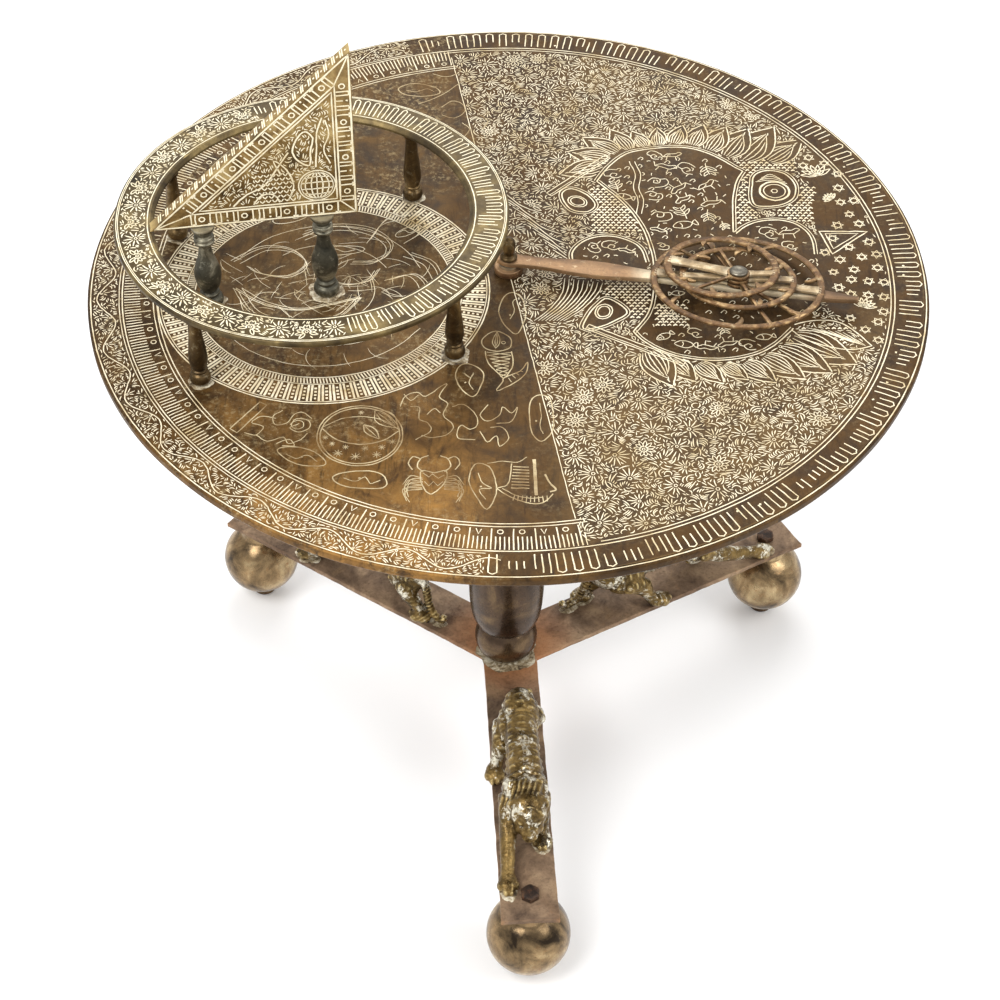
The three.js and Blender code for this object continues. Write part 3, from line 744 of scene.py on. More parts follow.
def leopard_detail(verts, normals):
    """Raised spots, a spine ridge, eyes, mouth, fur strokes and casting unevenness."""
    p = verts.copy()
    push = 0.22 * ripple(p, 7.0, 3) + 0.12 * ripple(p, 2.6, 4)
    body = (p[:, 0] > -64) & (p[:, 0] < 36) & (p[:, 2] > 27)
    around = np.arctan2(p[:, 1] - 2, p[:, 2] - 26)
    for row, angle in enumerate((-1.3, -0.86, -0.43, 0.0, 0.43, 0.86, 1.3)):
        start = -54 + 3.6 * (row % 2)
        for x in np.arange(start, 36, 7.4):
            d = np.hypot((p[:, 0] - x) / 1.7, (around - angle) * 17.0 / 2.5)
            push += body * (0.85 * np.exp(-(d / 0.85) ** 2) - 0.4 * np.exp(-((d - 1.5) / 0.4) ** 2))
    # ruff of short strokes behind the head, and muscle lines on the thighs
    ruff = (p[:, 0] > 34) & (p[:, 0] < 48) & (p[:, 2] > 28)
    push += ruff * 0.5 * np.sin(p[:, 1] * 1.5 + 0.5 * p[:, 0])
    legs = (p[:, 2] < 27) & (p[:, 2] > 8) & (p[:, 0] < 60)
    push += legs * 0.14 * np.sin(p[:, 2] * 1.6 + p[:, 0] * 0.5)
    tail = (p[:, 0] < -64) & (p[:, 2] > 3)
    push += tail * 0.2 * np.sin(p[:, 0] * 1.4 + p[:, 2] * 1.7)
    for side in (1, -1):
        eye = np.array([64.0, 3 + side * 6.6, 34.5])
        d = np.linalg.norm(p - eye, axis=1)
        push += 0.9 * np.exp(-(d / 1.9) ** 2) - 0.8 * np.exp(-((d - 3.3) / 1.0) ** 2)
        nostril = np.array([73.5, 3 + side * 2.2, 23.0])
        push -= 0.7 * np.exp(-(np.linalg.norm(p - nostril, axis=1) / 1.2) ** 2)
        ear = np.array([52.5, 3 + side * 13.5, 40.0])
        push -= 1.2 * np.exp(-(np.linalg.norm(p - ear, axis=1) / 2.0) ** 2)
    mouth = np.abs(p[:, 2] - 21.4 + 0.2 * (p[:, 0] - 66)) < 0.8
    push -= 0.8 * (mouth & (p[:, 0] > 62) & (np.abs(p[:, 1] - 3) < 9))
    brow = np.abs(p[:, 1] - 3) / 7
    push += 0.7 * np.exp(-((p[:, 0] - 58 - 2 * brow) / 1.4) ** 2) * (p[:, 2] > 38)
    push += 0.6 * np.exp(-((p[:, 1] - 3) / 2.2) ** 2) * ((p[:, 0] > 58) & (p[:, 2] > 26))
    p += normals * push[:, None]
    p[:, 2] = np.maximum(p[:, 2], 0.35)
    return p


LEOPARD_PLACE = 145.0  # from the base's hub to the leopard's own origin


def build_leopards(materials, place):
    """The same casting on each arm, at a place along it."""
    points, faces = leopard_mesh()
    for name in ARM_NAMES:
        u = arm_axis(name)[0]
        verts = np.column_stack([
            BASE_HUB + (points[:, :1] + place) * u + points[:, 1:2] * left_of(u),
            points[:, 2] + PLATE_HIGH[2]])
        cat = to_object("leopard_cast_" + name, verts, faces, materials["leopard_brass"], "root", sharp=None)
        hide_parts("leopard_" + name)


# ---------- column ----------

def build_column(materials):
    """Bun foot, vase, neck and flange, each from a profile of (radius, height)."""
    bronze = materials["dark_bronze"]
    top = node_height("column_foot")
    bun = np.vstack([[0.05, 0], [17.5, 0], curve_through([(19, 0.2), (23.6, 3), (25.7, 10),
                     (25.6, 17), (23, 25), (18, top)], 6), [0.05, top]])
    turned_piece("column_foot", bun, bronze, segments=96, wobble=0.003)
    top = node_height("column_body")
    egg = curve_through([(16.5, 0), (22.8, 1.4), (26.2, 6), (28.6, 14), (30.2, 28),
                         (30.8, 48), (29, 82), (23.5, 120), (16.5, 146), (13.2, 154)], 6)
    collar = soft_corner([(13.2, 155.5), (16.4, 157.5), (16.4, 160), (17.6, 162),
                          (17.6, 166), (16, top)], 0.8)
    turned_piece("column_body", np.vstack([[0.05, 0], egg, collar, [0.05, top]]), bronze,
                 segments=96, wobble=0.003)
    top = node_height("column_neck")
    low = soft_corner([(15.6, 0), (17, 2), (17, 4.6), (13.2, 7), (11.4, 11)], 0.8)
    shaft = curve_through([(11.8, 13), (14.6, 26), (17, 44), (17.6, 64), (15.8, 92),
                           (12.8, 124), (10.6, 156)], 6)
    high = soft_corner([(10.6, 160), (15, 162.5), (15, 168), (11, 171), (11.6, 177),
                        (15, 184), (21.4, 191), (22, top)], 0.9)
    turned_piece("column_neck", np.vstack([[0.05, 0], low, shaft, high, [0.05, top]]), bronze,
                 segments=96, wobble=0.003, seed=2)
    top = node_height("column_flange")
    disc = soft_corner([(0.05, 0), (30, 0), (36, 3.4), (72.5, 6.4), (75, 7.6), (75, top),
                        (0.05, top)], 0.8)
    turned_piece("column_flange", disc, bronze, segments=128, seed=3)
    for node in ("tie_rod", "tie_rod_nut", "tie_rod_washer", "pivot_washer"):
        dress_cad(node, materials["steel"])


def pool(x, y, radius, seed, turn=0.0, stretch=1.0):
    """A low uneven puddle of solder, its middle under whatever it holds."""
    rings, segments = 9, 48
    verts = []
    a = np.linspace(0, 2 * math.pi, segments, endpoint=False)
    edge = 1 + 0.16 * ripple(np.column_stack([np.cos(a), np.sin(a)]) * 10, 12.0, seed)
    for k in range(rings):
        share = (k + 0.02) / (rings - 1)
        r = radius * edge * share
        p = spun(np.column_stack([r * np.cos(a) * stretch, r * np.sin(a)]), turn)
        lift = 0.7 * (1 - share ** 2.2) + 0.16 * ripple(p, 4.0, seed + 1) * (1 - share)
        verts.append(np.column_stack([p + (x, y), np.maximum(lift, 0.05)]))
    verts = np.concatenate(verts)
    verts[-segments:, 2] = -0.12
    return verts, [face[::-1] for face in tube_faces(rings, segments)]


# Radius of the solder round each small column's foot, and places and radii round a leopard's feet.
COLUMN_SOLDER = {"gnomon_column_right": 13.5, "gnomon_column_left": 11.5, "ring_column_front_right": 11,
                 "ring_column_front_left": 8.8, "ring_column_back_right": 9.2, "ring_column_back_left": 8.8}
PAW_SOLDER = [(103, -15, 7), (58, 13.5, 8.5), (-9, -16.5, 5.5), (-64, 15, 7), (-80, 12, 6)]


def build_solder(materials):
    """Puddles round the small columns, the leopards' feet and the column's foot."""
    on_top, on_plate = [], []
    for n, (node, radius) in enumerate(COLUMN_SOLDER.items()):
        x, y = node_centre(node)[:2]
        verts, faces = pool(x, y, radius, 70 + n)
        verts[:, 2] = verts[:, 2] * 0.5 + top_level(verts[:, :2])
        on_top.append((verts, faces))
    for n, name in enumerate(ARM_NAMES):
        u = arm_axis(name)[0]
        for k, (ahead, aside, radius) in enumerate(PAW_SOLDER):
            x, y = BASE_HUB + (LEOPARD_PLACE + ahead) * u + aside * left_of(u)
            verts, faces = pool(x, y, radius, 80 + 5 * n + k, math.atan2(u[1], u[0]), 1.5)
            verts[:, 2] += PLATE_HIGH[2]
            on_plate.append((verts, faces))
    verts, faces = pool(1.5, -4.0, 26.5, 99)
    verts[:, 2] = verts[:, 2] * 0.5 + PLATE_HIGH[2]
    on_plate.append((verts, faces))
    for name, parts, slot in (("solder_top", on_top, "engraved_brass"),
                              ("solder_base", on_plate, "rusty_iron")):
        verts, faces = merged(parts)
        piece = to_object(name, verts, faces, materials["solder"], "root")


def dress_cad(node, material):
    """Gives a CAD node, kept as it is, a finish of its own."""
    piece = frame["nodes"][node]
    piece.data.materials.clear()
    piece.data.materials.append(material)


# ---------- round top ----------

def top_level(points):
    """Height of the top's hand-beaten surface at points, a little below its nominal plane."""
    return TOP_Z - 0.16 * (1 + ripple(points, 150.0, 21, 2))


def build_table_top(materials):
    """The round sheet with its turned-down, slightly wavy rim."""
    segments = 288
    radii = np.concatenate([[0.5, 4.0], np.arange(12, TOP_RADIUS - 5, 6.0), [TOP_RADIUS - 4.2]])
    rim = soft_corner([(TOP_RADIUS - 4.2, 0.0), (TOP_RADIUS - 3.6, -0.35), (TOP_RADIUS - 3.0, 0.0),
                       (TOP_RADIUS - 1.2, 0.0), (TOP_RADIUS - 0.1, -1.0), (TOP_RADIUS - 0.1, -5.4),
                       (TOP_RADIUS - 1.0, -6.9), (TOP_RADIUS - 2.6, -6.9), (TOP_RADIUS - 3.5, -5.8),
                       (TOP_RADIUS - 3.5, -3.2), (TOP_RADIUS - 6.0, -3.0)], 0.5)
    profile = [(r, 0.0) for r in radii] + [tuple(p) for p in rim[1:]] + [(60.0, -3.0), (0.5, -3.0)]
    verts, faces = lathe(profile, segments, closed=True)
    faces = [f[::-1] for f in faces]
    lift = top_level(verts[:, :2]) - TOP_Z
    edge = np.hypot(verts[:, 0], verts[:, 1]) > TOP_RADIUS - 4.0
    turn = np.arctan2(verts[:, 1], verts[:, 0])
    waver = 0.5 * (1 + 0.5 * np.sin(5 * turn + 0.4) + 0.3 * np.sin(11 * turn + 2.0) + 0.2 * np.sin(23 * turn))
    verts[edge, :2] *= (1 - waver[edge] * 0.7 / TOP_RADIUS)[:, None]
    verts[:, 2] += TOP_Z + lift
    top = to_object("round_top", verts, faces, materials["engraved_brass"], "root")
    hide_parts("table_top")


# ---------- dial ring ----------

def build_dial_ring(materials):
    """The raised ring, its inner edge sloped."""
    low, high = float(RING_LOW[2]), float(RING_HIGH[2])
    inner = RING_OUTER - RING_BAND
    profile = soft_corner([(inner + 3.4, high), (inner + 2.2, high - 0.2), (inner + 0.1, high - 2.4),
                           (inner, low + 0.6), (inner + 0.8, low), (RING_OUTER - 0.8, low),
                           (RING_OUTER - 0.02, low + 0.8), (RING_OUTER - 0.02, high - 1.3),
                           (RING_OUTER - 0.6, high - 0.4), (RING_OUTER - 1.5, high)], 0.4)
    verts, faces = lathe(profile, 256, closed=True)
    verts[:, :2] += RING_CENTRE
    ring = to_object("ring_plate", verts, faces, materials["ring_brass"], "root")
    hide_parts("dial_ring")


def build_ring_columns(materials):
    """The four small columns under the raised ring."""
    for i, name in enumerate(("front_left", "front_right", "back_right", "back_left")):
        node = "ring_column_" + name
        top = node_height(node)
        base = curve_through([(4.8, 0), (6.9, 1.6), (7.3, 4.2), (6.6, 7.4), (4.9, 9.2)], 5)
        fillet = soft_corner([(4.6, 9.6), (5.8, 10.4), (5.8, 11.6), (4.8, 12.4)], 0.4)
        shaft = curve_through([(5.2, 13), (6.3, 18), (6.5, 22), (5.9, 30), (4.7, 42),
                               (4.1, 54)], 5)
        cap = soft_corner([(4.1, 55), (5.4, 56), (5.4, 58), (4.4, 59.4), (4.4, 61),
                           (5.8, 63), (5.8, top)], 0.4)
        profile = np.vstack([[0.05, 0], base, fillet, shaft, cap, [0.05, top]])
        turned_piece(node, profile, materials["column_brass"], 48, 0.012, 40 + i)


# ---------- gnomon ----------

GNOMON_THICK = 10.0


def gnomon_frame():
    """Origin on the front face at the right-hand column, and the directions along, up and out."""
    along = np.array([math.cos(GNOMON_ANGLE), math.sin(GNOMON_ANGLE), 0.0])
    out = np.array([along[1], -along[0], 0.0])
    back = 2.5
    origin = np.array([GNOMON_FOOT[0], GNOMON_FOOT[1], GNOMON_LOW[2]]) + out * (GNOMON_THICK / 2 - back)
    return origin, along, np.array([0.0, 0.0, 1.0]), out


GNOMON_LEFT, GNOMON_RIGHT = -117.6, 24.8


def build_gnomon(materials):
    """The triangular plate and the two vase-shaped columns with cups."""
    origin, along, up, out = gnomon_frame()
    corners = np.array([(GNOMON_LEFT, 0.0), (GNOMON_RIGHT, 0.0), (GNOMON_RIGHT, GNOMON_TALL)])
    outline = []
    for a, b in zip(corners, np.roll(corners, -1, 0)):
        t = np.linspace(0, 1, 40, endpoint=False)[:, None]
        outline.append(a + (b - a) * t)
    flat, faces = slab(np.vstack(outline), -GNOMON_THICK, 0.0, 0.5)
    verts = origin + flat[:, :1] * along + flat[:, 1:2] * up + flat[:, 2:3] * out
    verts[:, 2] = np.minimum(verts[:, 2], GNOMON_HIGH[2])
    plate = to_object("gnomon_slab", verts, faces, materials["gnomon_brass"], "root")
    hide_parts("gnomon_plate")
    for i, name in enumerate(("right", "left")):
        node = "gnomon_column_" + name
        top = node_height(node)
        base = curve_through([(7, 0), (8.8, 1.4), (9.2, 3.6), (8.4, 6.4), (6.2, 8.2)], 5)
        fillet = soft_corner([(5.8, 8.4), (7.0, 9.2), (7.0, 10.8), (5.2, 12)], 0.4)
        bulb = curve_through([(5.4, 12.4), (7.8, 17), (9.3, 24), (9.2, 30), (7.4, 37),
                              (5.4, 43), (4.4, 50)], 6)
        cup = soft_corner([(4.4, 53), (6.8, 54.6), (7.2, 56.6), (5.6, 57.6), (7.2, 58.8),
                           (6.8, 60.6), (5.0, 61.4), (5.6, 63.6), (7.6, 66), (8.2, 67.6),
                           (8.2, top)], 0.5)
        profile = np.vstack([[0.05, 0], base, fillet, bulb, cup, [0.05, top]])
        turned_piece(node, profile, materials["grey_bronze"], 56, 0.012, 50 + i)


# ---------- pointer ----------

ARM_LENGTH = 249.0
ARM_TWIST = 9.0
ARM_HALF_WIDTHS = [
    (-8, 3), (0, 6.2), (12, 5.2), (30, 5.6), (50, 8), (70, 8.6), (92, 6.6), (112, 5.6),
    (150, 6), (163.5, 7), (177, 6), (205, 5.6), (225, 5.4), (240, 3.6), (ARM_LENGTH, 2),
]


def build_arm(materials):
    """The pointer's arm, twisted between the pivot and the rings."""
    upper = curve_through(ARM_HALF_WIDTHS, 9)
    outline = np.vstack([upper * (1, -1), upper[::-1]])
    thick = 3.6
    flat, faces = slab(outline, 0.0, thick, 0.5)
    flat[:, 2] += 0.12 * ripple(flat[:, :2], 14.0, 61)
    share = np.clip((flat[:, 0] - 14) / 86, 0, 1)
    a = -math.radians(ARM_TWIST) * share * share * (3 - 2 * share)
    y, z = flat[:, 1].copy(), flat[:, 2] - thick / 2
    flat[:, 1] = y * np.cos(a) - z * np.sin(a)
    flat[:, 2] = y * np.sin(a) + z * np.cos(a)
    verts = np.column_stack([spun(flat[:, :2], ARM_ANGLE), flat[:, 2] + HUB[2]])
    arm = to_object("pointer_arm", verts, faces, materials["copper"], "arm")
    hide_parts("alidade_arm")


def hub_frame():
    """Matrix from the hub's own frame, z along its leaning axis, to the row frame, in mm."""
    n = HUB_AXIS / np.linalg.norm(HUB_AXIS)
    u = np.array([math.cos(ARM_ANGLE), math.sin(ARM_ANGLE), 0.0])
    v = np.cross(n, u)
    return np.array([u, v, n])


def in_hub(points):
    return HUB + np.asarray(points, float) @ hub_frame()


RETE_THICK = 2.2
RETE_STEP = 3.2
RETE_FIRST = 2.8
WIDE_SPOKE = 6  # spokes from this width on are worn pale
# Each ring is (outer radius, band, offset of its centre, spokes), a spoke (turn, length, width).
RETE_RINGS = {
    "rete_large": (61.5, 5.0, (0.0, 0.0), [(0, 59, 9), (180, 59, 9), (-38, 59, 3), (-62, 59, 3),
                                           (118, 59, 3),
                                          (142, 59, 3)]),
    "rete_middle": (41.5, 4.6, (0.0, 0.0), [(8, 39, 7), (188, 39, 7), (-65, 39, 2.6), (115, 39, 2.6)]),
    "rete_small": (41.0, 5.6, (-12.5, 7.0), [(14, 26, 6), (170, 51, 10), (-136, 40, 2.6)]),
}


def thorn(root, heading, bend, length, low, high):
    """A curved star pointer, from its root on a ring to a fine tip."""
    spine = walk(root, heading, bend, length, 1.2)
    side = left_of(unit(np.gradient(spine, axis=0)))
    half = (1.5 * np.sin(np.linspace(0.5, math.pi - 0.12, len(spine))) + 0.25)[:, None]
    return slab(np.vstack([spine - side * half, (spine + side * half)[::-1]]), low, high, 0.2)


def build_rete(materials):
    """Three openwork rings on a leaning rivet, with their spokes and star pointers."""
    bronze = materials["rete_bronze"]
    for i, (name, (outer, band, offset, spokes)) in enumerate(RETE_RINGS.items()):
        low = RETE_FIRST + i * RETE_STEP
        high = low + RETE_THICK
        half = band / 2
        middle = outer - half
        # a flat band with eased edges and a row of small beads struck along it
        section = soft_corner([(middle - half, low + 0.3), (middle - half + 0.3, low), (outer - 0.3, low),
                               (outer, low + 0.3), (outer, high - 0.7), (outer - 0.7, high - 0.1),
                               (middle, high - 0.25), (middle - half + 0.7, high - 0.1),
                               (middle - half, high - 0.7)], 0.25)
        verts, faces = lathe(section, 240, closed=True)
        angle = np.arctan2(verts[:, 1], verts[:, 0])
        r = np.hypot(verts[:, 0], verts[:, 1])
        on_top = verts[:, 2] > high - 0.5
        row = np.exp(-((r - middle) / (0.22 * band)) ** 2)
        beads = np.maximum(0, np.cos(angle * round(middle * 2.0))) * row
        verts[on_top, 2] += 0.3 * beads[on_top] - 0.08
        verts[:, 2] = np.minimum(verts[:, 2], high + 0.25)
        verts[:, :2] += offset
        rim = to_object(name + "_rim", in_hub(verts), faces, bronze, name)
        parts = [lathe(soft_corner([(3.0, high), (3.0, low), (8.0, low), (8.3, low + 1), (8.0, high),
                                    (3.0, high)],
                                   0.3)[:-1], 40, closed=True)]
        bars = []
        for turn, length, width in spokes:
            t = np.linspace(0, 1, 14)
            swell = width / 2 * (1 - 0.16 * np.sin(math.pi * t))
            x = 7.0 + (length - 7.0) * t
            bar = np.vstack([np.column_stack([x, -swell]), np.column_stack([x[::-1], swell[::-1]])])
            bar = slab(spun(bar, math.radians(turn)), low + 0.15, high - 0.2, 0.25)
            (bars if width >= WIDE_SPOKE else parts).append(bar)
        for k in range(7):
            around = math.radians(17 + 51.4 * k + 23 * i)
            root = np.array(offset) + (middle - half + 0.6) * toward(around)
            parts.append(thorn(root, around + math.pi + 0.9 * (-1) ** k, 0.11 * (-1) ** (k + 1),
                               11.0 - 1.5 * i,
                               low + 0.2, high - 0.4))
        verts, faces = merged(parts)
        web = to_object(name + "_web", in_hub(verts), faces, bronze, name)
        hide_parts(name)
        verts, faces = merged(bars)
        worn = to_object(name + "_bars", in_hub(verts), faces, materials["rete_worn"], name)
    steel = materials["steel"]
    for node in ("rete_washer_low", "rete_washer_mid", "rete_washer_top"):
        dress_cad(node, steel)
    top = RETE_FIRST + 2 * RETE_STEP + RETE_THICK + 0.3
    head = curve_through([(6.3, top), (6.5, top + 0.8), (5.6, top + 1.9), (3.4, top + 2.5),
                          (0.4, top + 2.6)], 5)
    shank = [(0.05, -3.2), (5.0, -3.2), (5.0, -2.1), (2.6, -2.1), (2.6, top)]
    verts, faces = lathe(np.vstack([shank, head]), 48)
    verts[:, 2] -= 0.5 * np.exp(-(np.hypot(verts[:, 0], verts[:, 1]) / 1.6) ** 2) * (verts[:, 2] > top + 1)
    rivet = to_object("hub_rivet", in_hub(verts), faces, steel, "arm")
    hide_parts("rete_rivet")


def merged(parts):
    """Several (points, faces) shapes as one."""
    verts, faces, count = [], [], 0
    for points, polygons in parts:
        verts.append(points)
        faces += [tuple(i + count for i in face) for face in polygons]
        count += len(points)
    return np.concatenate(verts), faces


def build_pivot(materials):
    """The copper spacer under the arm and the finial on it."""
    low, high = node_box("pivot_spacer")
    ring = soft_corner([(3.4, low[2]), (10.2, low[2]), (10.4, low[2] + 2.4), (10.0, high[2]),
                        (3.4, high[2])], 0.5)
    verts, faces = lathe(ring, 64, closed=True)
    spacer = to_object("copper_spacer", verts, faces, materials["copper"], "root")
    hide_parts("pivot_spacer")
    base = soft_corner([(5.6, 0), (6.2, 0.6), (6.2, 1.6), (5.2, 2.8), (4.0, 3.4),
                        (3.8, 4.6)], 0.4)
    knob = curve_through([(3.8, 5.0), (4.5, 7.4), (4.9, 10.8), (4.6, 14), (3.2, 16.8),
                          (0.3, 18)], 6)
    profile = np.vstack([[0.05, 0], base, knob])
    turned_piece("pivot_finial", profile, materials["column_brass"], segments=56)


# ---------- engraving ----------

CELL = 0.5


class Ground:
    """Which half-millimetre cells of a flat surface are still free to cut."""

    def __init__(self, reach, free):
        self.reach = reach
        self.at = np.arange(-reach, reach, CELL) + CELL / 2
        self.taken = ~free(*np.meshgrid(self.at, self.at, indexing="ij"))

    def cells(self, points):
        return np.clip(((points + self.reach) / CELL).astype(int), 0, len(self.at) - 1)

    def blocked(self, points):
        c = self.cells(np.atleast_2d(points))
        return self.taken[c[:, 0], c[:, 1]]

    def mark(self, points, clearance):
        n = int(clearance / CELL)
        dx, dy = np.meshgrid(np.arange(-n, n + 1), np.arange(-n, n + 1), indexing="ij")
        near = np.hypot(dx, dy) * CELL <= clearance
        c = self.cells(points)
        last = len(self.at) - 1
        self.taken[np.clip(c[:, :1] + dx[near], 0, last), np.clip(c[:, 1:] + dy[near], 0, last)] = True

    def cover(self, outline, value=True):
        """Marks the inside of an outline as taken, or frees it."""
        p = np.asarray(outline, float)
        low, high = self.cells(p.min(0)[None])[0], self.cells(p.max(0)[None])[0] + 1
        x, y = np.meshgrid(self.at[low[0]:high[0]], self.at[low[1]:high[1]], indexing="ij")
        hit = np.zeros(x.shape, bool)
        for (ax, ay), (bx, by) in zip(p, np.roll(p, -1, 0)):
            if ay != by:
                hit ^= ((ay > y) != (by > y)) & (x < (bx - ax) * (y - ay) / (by - ay) + ax)
        self.taken[low[0]:high[0], low[1]:high[1]][hit] = value


class Strokes:
    """Cut lines with their pale filling: thin closed ribbons let into a surface."""

    def __init__(self, place, ground=None, seed=1, proud=0.09, flip=False):
        self.place = place
        self.ground = ground
        self.rng = np.random.default_rng(seed)
        self.proud = proud
        self.flip = flip
        self.verts = []
        self.quads = []
        self.caps = []
        self.count = 0

    def draw(self, points, width=0.8, closed=False, taper=0.0, clearance=1.4, shake=0.1):
        """One line, straight between points. Taper thins both ends."""
        p = np.asarray(points, float)
        if closed:
            p = np.vstack([p, p[:1]])
        steps = np.linalg.norm(np.diff(p, axis=0), axis=1)
        if len(steps) and steps.max() > 6:
            at = np.concatenate([[0], np.cumsum(steps)])
            extra = [np.linspace(a, b, max(2, int((b - a) / 5) + 1), endpoint=False) for a,
                     b in zip(at, at[1:])]
            want = np.concatenate(extra + [at[-1:]])
            p = np.column_stack([np.interp(want, at, p[:, 0]), np.interp(want, at, p[:, 1])])
        if self.ground is not None:
            self.ground.mark(dense(p), clearance)
        if closed:
            p = p[:-1]
        p = p + self.rng.normal(0, shake, p.shape)
        n = len(p)
        if closed:
            along = np.roll(p, -1, 0) - np.roll(p, 1, 0)
        else:
            along = np.gradient(p, axis=0)
        side = left_of(unit(along))
        half = width / 2 * self.rng.uniform(0.84, 1.16, n)
        if taper and not closed:
            half *= 1 - taper * np.abs(np.linspace(-1, 1, n)) ** 2
        half = half[:, None]
        flat = np.concatenate([p + side * half, p - side * half, p])
        rise = np.concatenate([np.full(2 * n, self.proud), np.full(n, -0.2)])
        self.verts.append(self.place(flat, rise))
        i = np.arange(n if closed else n - 1)
        j = (i + 1) % n
        base = self.count
        self.quads.append(base + np.concatenate([
            np.column_stack([i, i + n, j + n, j]),
            np.column_stack([i, j, j + 2 * n, i + 2 * n]),
            np.column_stack([i + n, i + 2 * n, j + 2 * n, j + n])]))
        if not closed:
            self.caps.append(base + np.array([[0, 2 * n, n], [n - 1, 2 * n - 1, 3 * n - 1]]))
        self.count += 3 * n

    def on_free(self, points, **style):
        """The stretches of a line that lie on free ground."""
        p = dense(np.asarray(points, float), 1.5)
        free = ~self.ground.blocked(p)
        edges = np.flatnonzero(np.diff(np.concatenate([[False], free, [False]]).astype(int)))
        for start, stop in zip(edges[::2], edges[1::2]):
            if stop - start > 2:
                self.draw(p[start:stop], **style)

    def ring(self, cx, cy, radius, a0=0, a1=360, step=3.0, **style):
        """A circle, or an arc when it doesn't go all round."""
        count = max(5, int(math.radians(abs(a1 - a0)) * radius / step))
        a = np.radians(np.linspace(a0, a1, count + 1))
        p = np.column_stack([cx + radius * np.cos(a), cy + radius * np.sin(a)])
        whole = abs(a1 - a0) >= 360
        self.draw(p[:-1] if whole else p, closed=whole, **style)

    def dot(self, x, y, radius=0.7):
        a = self.rng.uniform(0, 3)
        d = toward(a) * radius
        self.draw([(x - d[0], y - d[1]), (x + d[0], y + d[1])], width=1.7 * radius, shake=0.0)

    def curve(self, points, closed=False, steps=4, **style):
        self.draw(curve_through(points, steps, closed), closed=closed, **style)

    def star(self, x, y, radius, rays=4, **style):
        """Short lines crossing at a point."""
        turn = self.rng.uniform(0, 3)
        for k in range(rays):
            a = turn + math.pi * k / rays
            d = toward(a) * radius
            self.draw([(x - d[0], y - d[1]), (x, y), (x + d[0], y + d[1])], taper=0.6, **style)

    def hexagram(self, x, y, radius, **style):
        """Two crossing triangles."""
        turn = self.rng.uniform(0, 1)
        for k in (0, 1):
            a = turn + math.pi / 3 * k + np.array([0, 2, 4]) * math.pi / 3
            self.draw(np.column_stack([x + radius * np.cos(a), y + radius * np.sin(a)]), closed=True,
                      **style)

    def leaf(self, base, tip, fat=0.3, veins=0, **style):
        """A pointed outline between two points, with lines inside."""
        base, tip = np.array(base, float), np.array(tip, float)
        d = tip - base
        s = left_of(d) * fat
        for k in (-1, 1):
            self.curve([base, base + 0.3 * d + 0.85 * k * s, base + 0.62 * d + 0.8 * k * s, tip], steps=3,
                       **style)
        for v in range(veins):
            k = (v + 1) / (veins + 1) * 2 - 1
            self.curve([base + 0.12 * d + 0.3 * k * s, base + 0.45 * d + 0.8 * k * s,
                        base + 0.86 * d + 0.22 * k * s],
                       steps=3, taper=0.6, **style)

    def finish(self, name, material, body):
        quads = np.concatenate(self.quads)
        faces = quads[:, ::-1].tolist() if self.flip else quads.tolist()
        if self.caps:
            caps = np.concatenate(self.caps)
            faces += caps[:, ::-1].tolist() if self.flip else caps.tolist()
        piece = to_object(name, np.concatenate(self.verts), faces, material, body, smooth=False)
        return piece


def dense(points, step=1.0):
    """The same line with points closer together."""
    d = np.linalg.norm(np.diff(points, axis=0), axis=1)
    at = np.concatenate([[0], np.cumsum(d)])
    want = np.linspace(0, at[-1], max(2, int(at[-1] / step) + 1))
    return np.column_stack([np.interp(want, at, points[:, 0]), np.interp(want, at, points[:, 1])])


def walk(start, heading, bend, length, step=1.4):
    """A line from a start that turns by bend radians a millimetre."""
    s = np.arange(0, length, step)
    a = heading + bend * s
    moves = np.column_stack([np.cos(a), np.sin(a)]) * step
    return np.asarray(start) + np.vstack([[0, 0], np.cumsum(moves[:-1], axis=0)])


def until_blocked(ground, line):
    """The part of a line before it first meets ground that is taken."""
    stop = np.flatnonzero(ground.blocked(line))
    return line[:stop[0]] if len(stop) else line


def fill_with_leaves(strokes, seeds, low, high, width=0.8, length=(4.0, 9.0), gap=1.75, clearance=1.4):
    """Bundles of short curved cuts, packed into whatever is still free."""
    rng, ground = strokes.rng, strokes.ground
    starts = rng.uniform(low, high, (seeds, 2))
    for start in starts[~ground.blocked(starts)]:
        heading = rng.uniform(0, 2 * math.pi)
        bend = rng.uniform(-0.42, 0.42)
        fan = rng.uniform(-0.3, 0.3)
        side = left_of(toward(heading)) * gap
        for k in range(4):
            line = until_blocked(ground, walk(start + k * side, heading + k * fan, bend,
                                              rng.uniform(*length)))
            if len(line) > 2:
                strokes.draw(line, width=width, taper=0.65, clearance=clearance, shake=0.05)


def palmette(strokes, x, y, turn, size, petals=9, spread=115.0, width=0.75, loops=False):
    """A fan of petals round a small eye. Only those on free ground are cut."""
    ground = strokes.ground
    lines = []
    for a in np.linspace(-spread, spread, petals):
        heading = turn + math.radians(a)
        reach = size * (1 - 0.3 * abs(a) / 180)
        start = np.array([x, y]) + 0.26 * size * toward(heading)
        line = walk(start, heading, math.radians(a) * 0.3 / size, reach * 0.8, 1.5)
        if loops:
            side = left_of(toward(heading)) * size * 0.13
            swell = np.sin(np.linspace(0.25, math.pi, len(line)))[:, None]
            line = np.vstack([line + side * swell, (line - side * swell)[::-1]])
        lines.append(line)
    free = [line for line in lines if ground is None or not ground.blocked(line).any()]
    for line in free:
        strokes.draw(line, width=width * (0.72 if loops else 1), taper=0.0 if loops else 0.5, closed=loops,
                     shake=0.05)
    if free:
        strokes.ring(x, y, 0.13 * size, step=1.4, width=0.6, shake=0.02)


